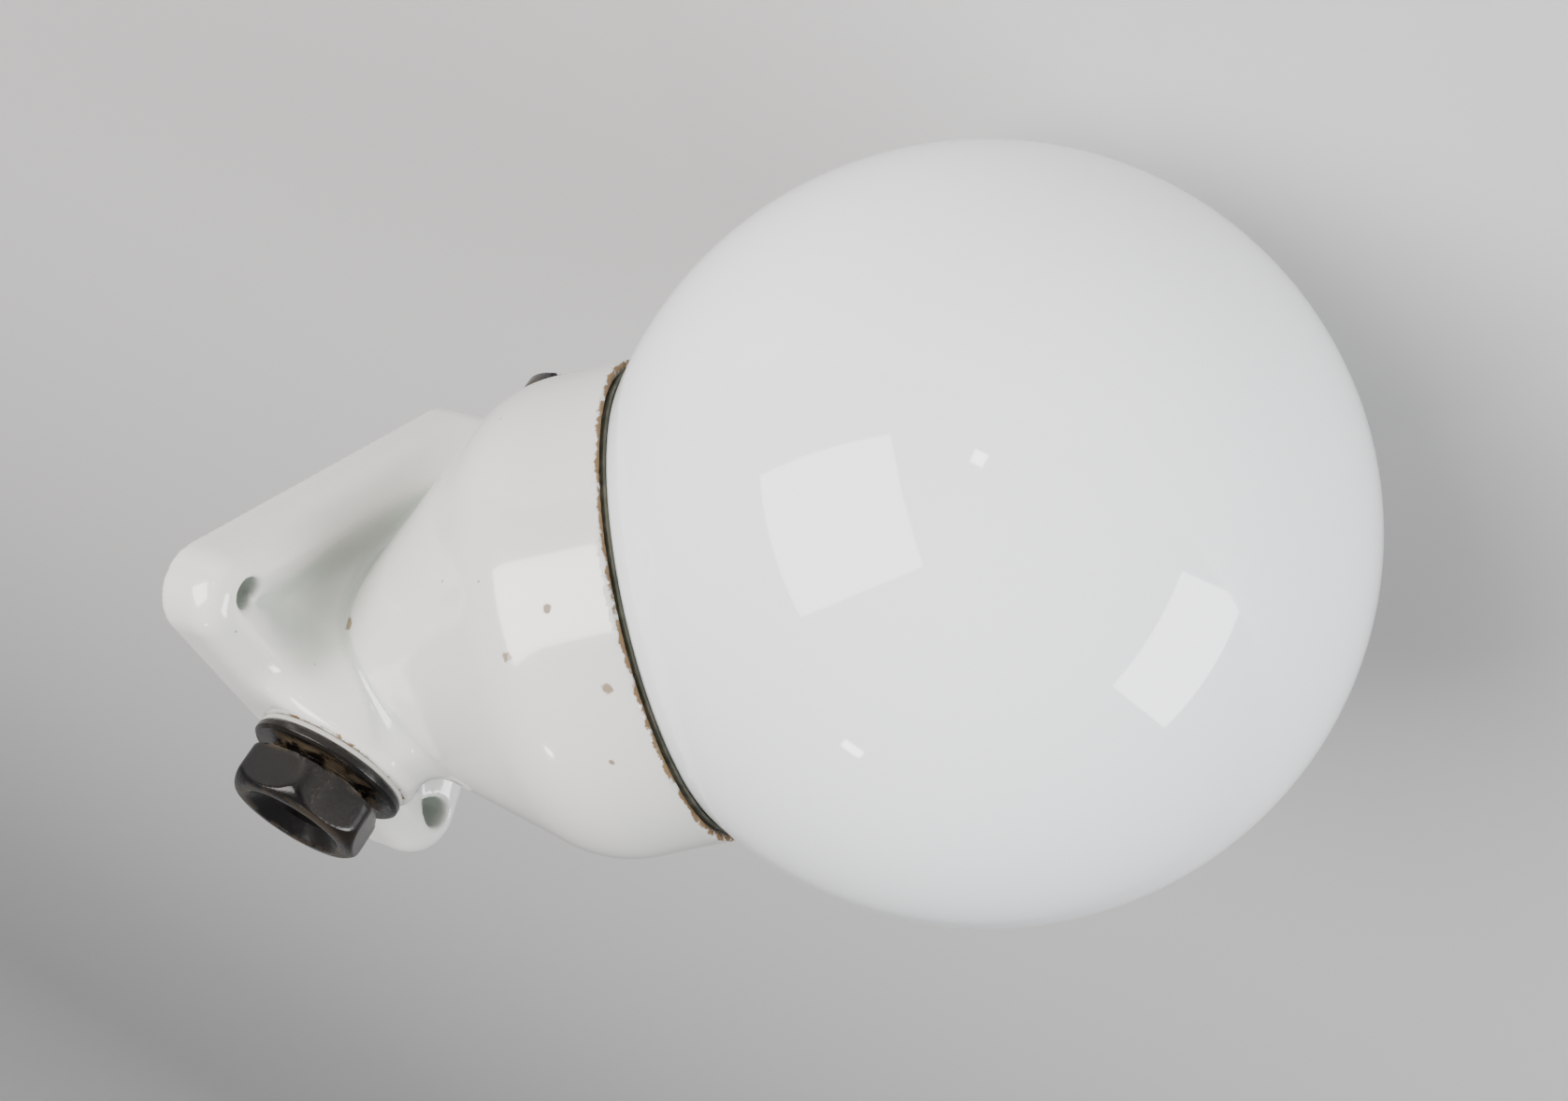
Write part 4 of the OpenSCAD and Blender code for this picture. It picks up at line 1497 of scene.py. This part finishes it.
@dataclass
class Lampholder:
    """The ceramic lampholder with its thread shell, contacts, terminals and fixings."""

    layout: Layout
    frame: dict
    screw_gap: float = 48.0
    terminal_gap: float = 54.0

    def build_shell(self, brass: Finish) -> bpy.types.Object:
        """Rolls the thread shell that the lamp cap screws into."""
        sizes = {"Radius": 13.62, "Wall": 0.8, "Thread depth": 1.0, "Length": 24.0, "Plain start": 0.8,
                 "Plain end": 0.8, "Start radius": 13.6, "End radius": 13.9}
        made = threaded_tube(brass).bake("holder_thread_shell", self.layout.on_neck(69.0), sizes)
        return install(made, Body.HOUSING, "contact_brass", "screw_shell")

    def build_fixings(self, steel: Finish) -> None:
        """The two screws and nuts that hold the lampholder on its ledge, and the terminal screws.

        Args:
            steel: Finish of the fixings.
        """
        seat = self.layout.on_neck(self.layout.holder_at)
        fixing = Fastener("fixing_screw", steel)
        row = {"Count": 2, "Gap x": self.screw_gap}
        drawn = fixing.screw((1.95, -9.0, 6.3), (3.4, 6.2, 8.6), (0.9, 0.9))
        made = fixing.repeat("holder_screws", drawn, seat, row)
        install(made, Body.HOUSING, "plated_steel", "lampholder_screws")
        clamp = Fastener("fixing_nut", steel)
        made = clamp.repeat("holder_nuts", clamp.nut(7.0, 2.0, -8.3, -5.1), seat, row)
        install(made, Body.HOUSING, "plated_steel", "lampholder_nuts")
        wire = Fastener("wire_screw", steel)
        row = {"Count": 2, "Gap x": 0.0, "Gap y": self.terminal_gap}
        drawn = wire.screw((1.5, 11.6, 14.6), (2.9, 14.4, 16.3), (0.8, 0.7))
        made = wire.repeat("terminal_clamp_screws", drawn, seat, row)
        install(made, Body.HOUSING, "plated_steel", "terminal_screws")

    def dress(self, ceramic: Finish, brass: Finish) -> None:
        """Gives the carried-over parts their materials."""
        dress_node(self.frame, "lampholder_body", ceramic)
        for node in ("centre_contact", "shell_contact", "live_terminal", "neutral_terminal"):
            dress_node(self.frame, node, brass)


@dataclass
class Bulb:
    """A screw-cap filament lamp: cap, insulator, tip, envelope, stem and coil."""

    layout: Layout
    frame: dict
    radius: float = 30.0
    length: float = 106.0
    wall: float = 0.9

    def axis(self) -> Axis:
        """The bulb's axis, with 0 at its contact."""
        return self.layout.on_neck(self.layout.tip_at)

    def build_cap(self, aluminium: Finish) -> bpy.types.Object:
        """Rolls the threaded cap."""
        sizes = {"Radius": 12.45, "Wall": 0.45, "Thread depth": 1.0, "Length": 19.8, "Plain start": 4.4,
                 "Plain end": 2.2, "Start radius": 9.85, "End radius": 12.3}
        start = self.layout.on_neck(self.layout.tip_at + 6.15)
        made = threaded_tube(aluminium).bake("cap_sleeve", start, sizes)
        return install(made, Body.BULB, "cap_aluminium", "bulb_cap")

    def build_envelope(self, glass: Finish) -> bpy.types.Object:
        """Blows the pear-shaped envelope with its neck in the cap."""
        centre = self.length - self.radius
        low, join = 26.2, math.radians(128.0)
        join_r, join_z = self.radius * math.sin(join), centre + self.radius * math.cos(join)
        outer = [(12.0, low), (12.05, low + 1.5)]
        for t in np.linspace(0.1, 0.95, 12):
            straight = 12.05 + (join_r - 12.05) * t
            waist = 2.6 * math.sin(math.pi * t) * (1.0 - 0.35 * t)
            outer.append((straight - waist, low + 1.5 + (join_z - low - 1.5) * t))
        outer += [(self.radius * math.sin(a), centre + self.radius * math.cos(a))
                  for a in np.linspace(join, 0.0, 60)]
        inner = [(max(r - self.wall, 0.0), min(z, self.length - self.wall)) for r, z in reversed(outer[:14])]
        scale = (self.radius - self.wall) / self.radius
        crown = [(r * scale, centre + (z - centre) * scale) for r, z in reversed(outer[14:])]
        section = np.array(outer + crown + inner)
        section[np.abs(section[:, 0]) < 1e-6, 0] = 0.0
        made = lathe("bulb_envelope", section, self.axis(), glass, sharp_deg=50.0)
        face_outwards(made.data)
        return install(made, Body.BULB, "clear_glass", "bulb_glass")

    def coil_tree(self, wire: Finish) -> GeometryTree:
        """Writes the coiled filament and its two lead wires as a Geometry Nodes tree.

        Args:
            wire: Finish of the wire.

        Returns:
            The tree.
        """
        tree = GeometryTree("wound_coil", {
            "Span": 36.0, "Coil radius": 0.42, "Wire radius": 0.1, "Turns": 86, "Sag": 1.6, "Height": 77.0,
            "Lead foot x": 3.0, "Lead foot height": 40.0, "Lead radius": 0.28})
        line = tree.add("GeometryNodeCurvePrimitiveLine", values={"End": (1.0, 0.0, 0.0)})
        count = tree.size("Turns") * 12.0
        fine = tree.add("GeometryNodeResampleCurve", values={"Curve": line.outputs[0], "Count": count})
        way = Wire(tree, tree.add("GeometryNodeSplineParameter").outputs["Factor"])
        angle = way * tree.size("Turns") * (2.0 * math.pi)
        sag = tree.size("Sag") * (1.0 - (way * 2.0 - 1.0) ** 2.0)
        radius = tree.size("Coil radius")
        place = tree.vector((way - 0.5) * tree.size("Span"), radius * angle.cos(),
                            tree.size("Height") + sag + radius * angle.sin())
        wound = tree.add("GeometryNodeSetPosition", values={"Geometry": fine.outputs[0], "Position": place})
        solids = [self.drawn(tree, wound.outputs[0], tree.size("Wire radius"), 6)]
        for side in (-1.0, 1.0):
            foot = tree.vector(side * tree.size("Lead foot x"), 0.0, tree.size("Lead foot height"))
            top = tree.vector(side * 0.5 * tree.size("Span"), 0.0, tree.size("Height") + 0.5)
            lead = tree.add("GeometryNodeCurvePrimitiveLine", values={"Start": foot, "End": top})
            solids.append(self.drawn(tree, lead.outputs[0], tree.size("Lead radius"), 10))
        joined = tree.add("GeometryNodeJoinGeometry")
        for solid in solids:
            tree.feed(joined.inputs[0], solid)
        tree.close(joined.outputs[0], wire)
        return tree

    @staticmethod
    def drawn(tree: GeometryTree, curve: bpy.types.NodeSocket, radius: Wire, sides: int
              ) -> bpy.types.NodeSocket:
        """Draws a wire of that radius along a curve, with closed ends."""
        ring = tree.add("GeometryNodeCurvePrimitiveCircle", values={"Resolution": sides, "Radius": radius})
        values = {"Curve": curve, "Profile Curve": ring.outputs[0], "Fill Caps": True}
        return tree.add("GeometryNodeCurveToMesh", values=values).outputs[0]

    def build_filament(self, wire: Finish) -> bpy.types.Object:
        """Winds the filament between its lead wires."""
        made = self.coil_tree(wire).bake("filament_coil", self.axis(), {}, 60.0)
        return install(made, Body.BULB, "filament_metal", "bulb_filament")

    def dress(self, solder: Finish, black: Finish, glass: Finish) -> None:
        """Gives the carried-over parts their materials."""
        dress_node(self.frame, "bulb_tip", solder)
        dress_node(self.frame, "bulb_insulator", black)
        dress_node(self.frame, "bulb_stem", glass)


def dress_node(frame: dict, node: str, finish: Finish) -> None:
    """Puts a finish on every material slot of a carried-over part.

    Args:
        frame: The loaded frame.
        node: Name of the part.
        finish: What it is dressed in.
    """
    for slot in frame["nodes"][node].material_slots:
        slot.material = finish.material()
    LOG.info("%s: dressed in %s", node, finish.name)


# ---------------------------------------------------------------- studio


@dataclass
class Studio:
    """Floor, light and camera."""

    floor_z: float = -162.0
    azimuth_deg: float = 55.36
    elevation_deg: float = 26.42
    roll_deg: float = 149.52
    aim: Point = (-17.0, -74.2, -71.8)
    reach: float = 420.0
    lens: float = 45.58

    def build_floor(self, finish: Finish) -> None:
        """A wide round floor that sweeps up far away."""
        rows = [(0.0, 0.0), (600.0, 0.0), (1500.0, 0.0), (2300.0, 0.0), (2600.0, 60.0), (2850.0, 250.0),
                (3000.0, 600.0), (3050.0, 1400.0)]
        section = np.array(rows)
        points, faces = turned(section, Axis((0.0, 0.0, self.floor_z), (0.0, 0.0, 1.0)), 64, closed=False)
        floor = piece("studio_floor", points, faces, finish, 80.0)

    def build_camera(self) -> None:
        """Stands the camera where the lamp is seen from."""
        az, el, roll = (math.radians(v) for v in (self.azimuth_deg, self.elevation_deg, self.roll_deg))
        back = Vector((math.sin(az) * math.cos(el), -math.cos(az) * math.cos(el), math.sin(el)))
        level = Vector((math.cos(az), math.sin(az), 0.0))
        above = back.cross(level)
        right = level * math.cos(roll) - above * math.sin(roll)
        up = level * math.sin(roll) + above * math.cos(roll)
        data = bpy.data.cameras.new("camera")
        data.sensor_width = 36.0
        data.lens = self.lens
        data.clip_start = 0.01
        camera = bpy.data.objects.new("camera", data)
        turn = Matrix((right, up, back)).transposed().to_4x4()
        camera.matrix_world = Matrix.Translation((Vector(self.aim) + back * self.reach) * MM) @ turn
        bpy.context.scene.collection.objects.link(camera)
        bpy.context.scene.camera = camera

    def light(self, name: str, way: Point, size: tuple[float, float], power: float, tint: Colour,
              distance: float = 1.6, turn_deg: float = 0.0) -> None:
        """Adds a soft rectangular light that looks at the lamp.

        Args:
            name: Name of the light.
            way: Direction from the lamp to the light.
            size: Sides in metres.
            power: Watts.
            tint: Its colour.
            distance: Distance in metres.
            turn_deg: Turn about the way it looks.
        """
        data = bpy.data.lights.new(name, "AREA")
        data.shape = "RECTANGLE"
        data.size, data.size_y = size
        data.energy = power
        data.color = tint
        lamp = bpy.data.objects.new(name, data)
        aim = Vector((0.0, -0.09, -0.06))
        facing = Vector(way).normalized()
        turn = facing.to_track_quat("Z", "Y").to_matrix() @ Matrix.Rotation(math.radians(turn_deg), 3, "Z")
        lamp.matrix_world = Matrix.Translation(aim + facing * distance) @ turn.to_4x4()
        bpy.context.scene.collection.objects.link(lamp)

    def build_lights(self) -> None:
        """Two window-like panels, two small lamps and a pale surround."""
        self.light("left_window", (0.775, 0.21, 0.598), (1.15, 1.1), 56.0, (1.0, 0.98, 0.96), 1.6, 20.0)
        self.light("front_window", (-0.132, -0.966, 0.2215), (0.62, 0.9), 32.0, (0.96, 0.98, 1.0), 1.6, 25.0)
        self.light("small_lamp", (0.906, -0.35, 0.19), (0.1, 0.1), 1.2, (1.0, 0.97, 0.92), 1.6)
        self.light("low_lamp", (-0.14, 0.104, 0.98), (0.14, 0.08), 1.2, (1.0, 0.97, 0.92), 1.6)
        world = bpy.data.worlds.new("surround")
        world.use_nodes = True
        background = world.node_tree.nodes["Background"]
        background.inputs["Color"].default_value = (0.93, 0.95, 0.98, 1.0)
        background.inputs["Strength"].default_value = 0.3
        bpy.context.scene.world = world


def main() -> None:
    """Builds the lamp, piece by piece, and the studio round it."""
    logging.basicConfig(level=logging.INFO, format="%(name)s: %(message)s")
    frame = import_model()
    layout = Layout()
    studio = Studio()
    studio.build_camera()
    studio.build_lights()
    studio.build_floor(StudioFloor("pale_floor"))

    porcelain = Porcelain(layout)
    glaze = GlazedPorcelain("glazed_porcelain", chips=porcelain.chips())
    phenolic = Phenolic("phenolic")
    rubber = Rubber("grey_rubber", (0.30, 0.29, 0.25), (0.45, 0.42, 0.35))
    steel = Metal("plated_steel")
    porcelain.build(glaze)
    globe = Globe(layout)
    globe.build(OpalGlass("opal_glass"))
    globe.build_gasket(Rubber("seal_rubber", (0.055, 0.06, 0.042), (0.12, 0.115, 0.085)))
    gland = Gland(layout)
    gland.build_washer(rubber)
    gland.build_body(phenolic)
    gland.build_nut(phenolic)
    gland.build_seal(rubber, steel)
    plug = Plug(layout)
    plug.build_washer(rubber)
    plug.build_plug(phenolic)

    brass = Metal("contact_brass", (0.72, 0.52, 0.22), (0.28, 0.19, 0.10), 0.28, 0.5)
    holder = Lampholder(layout, frame)
    holder.build_shell(brass)
    holder.build_fixings(steel)
    holder.dress(Steatite("white_ceramic"), brass)
    bulb = Bulb(layout, frame)
    bulb.build_cap(Metal("cap_aluminium", (0.80, 0.81, 0.82), (0.5, 0.5, 0.48), 0.25, 0.3))
    bulb.build_envelope(ClearGlass("clear_glass"))
    bulb.build_filament(Metal("filament_metal", (0.3, 0.3, 0.31), (0.12, 0.12, 0.13), 0.4, 0.4))
    bulb.dress(Metal("solder", (0.55, 0.56, 0.57), (0.3, 0.3, 0.3), 0.45, 0.5), BlackGlass("black_glass"),
               ClearGlass("stem_glass"))


if __name__ == "__main__":
    main()
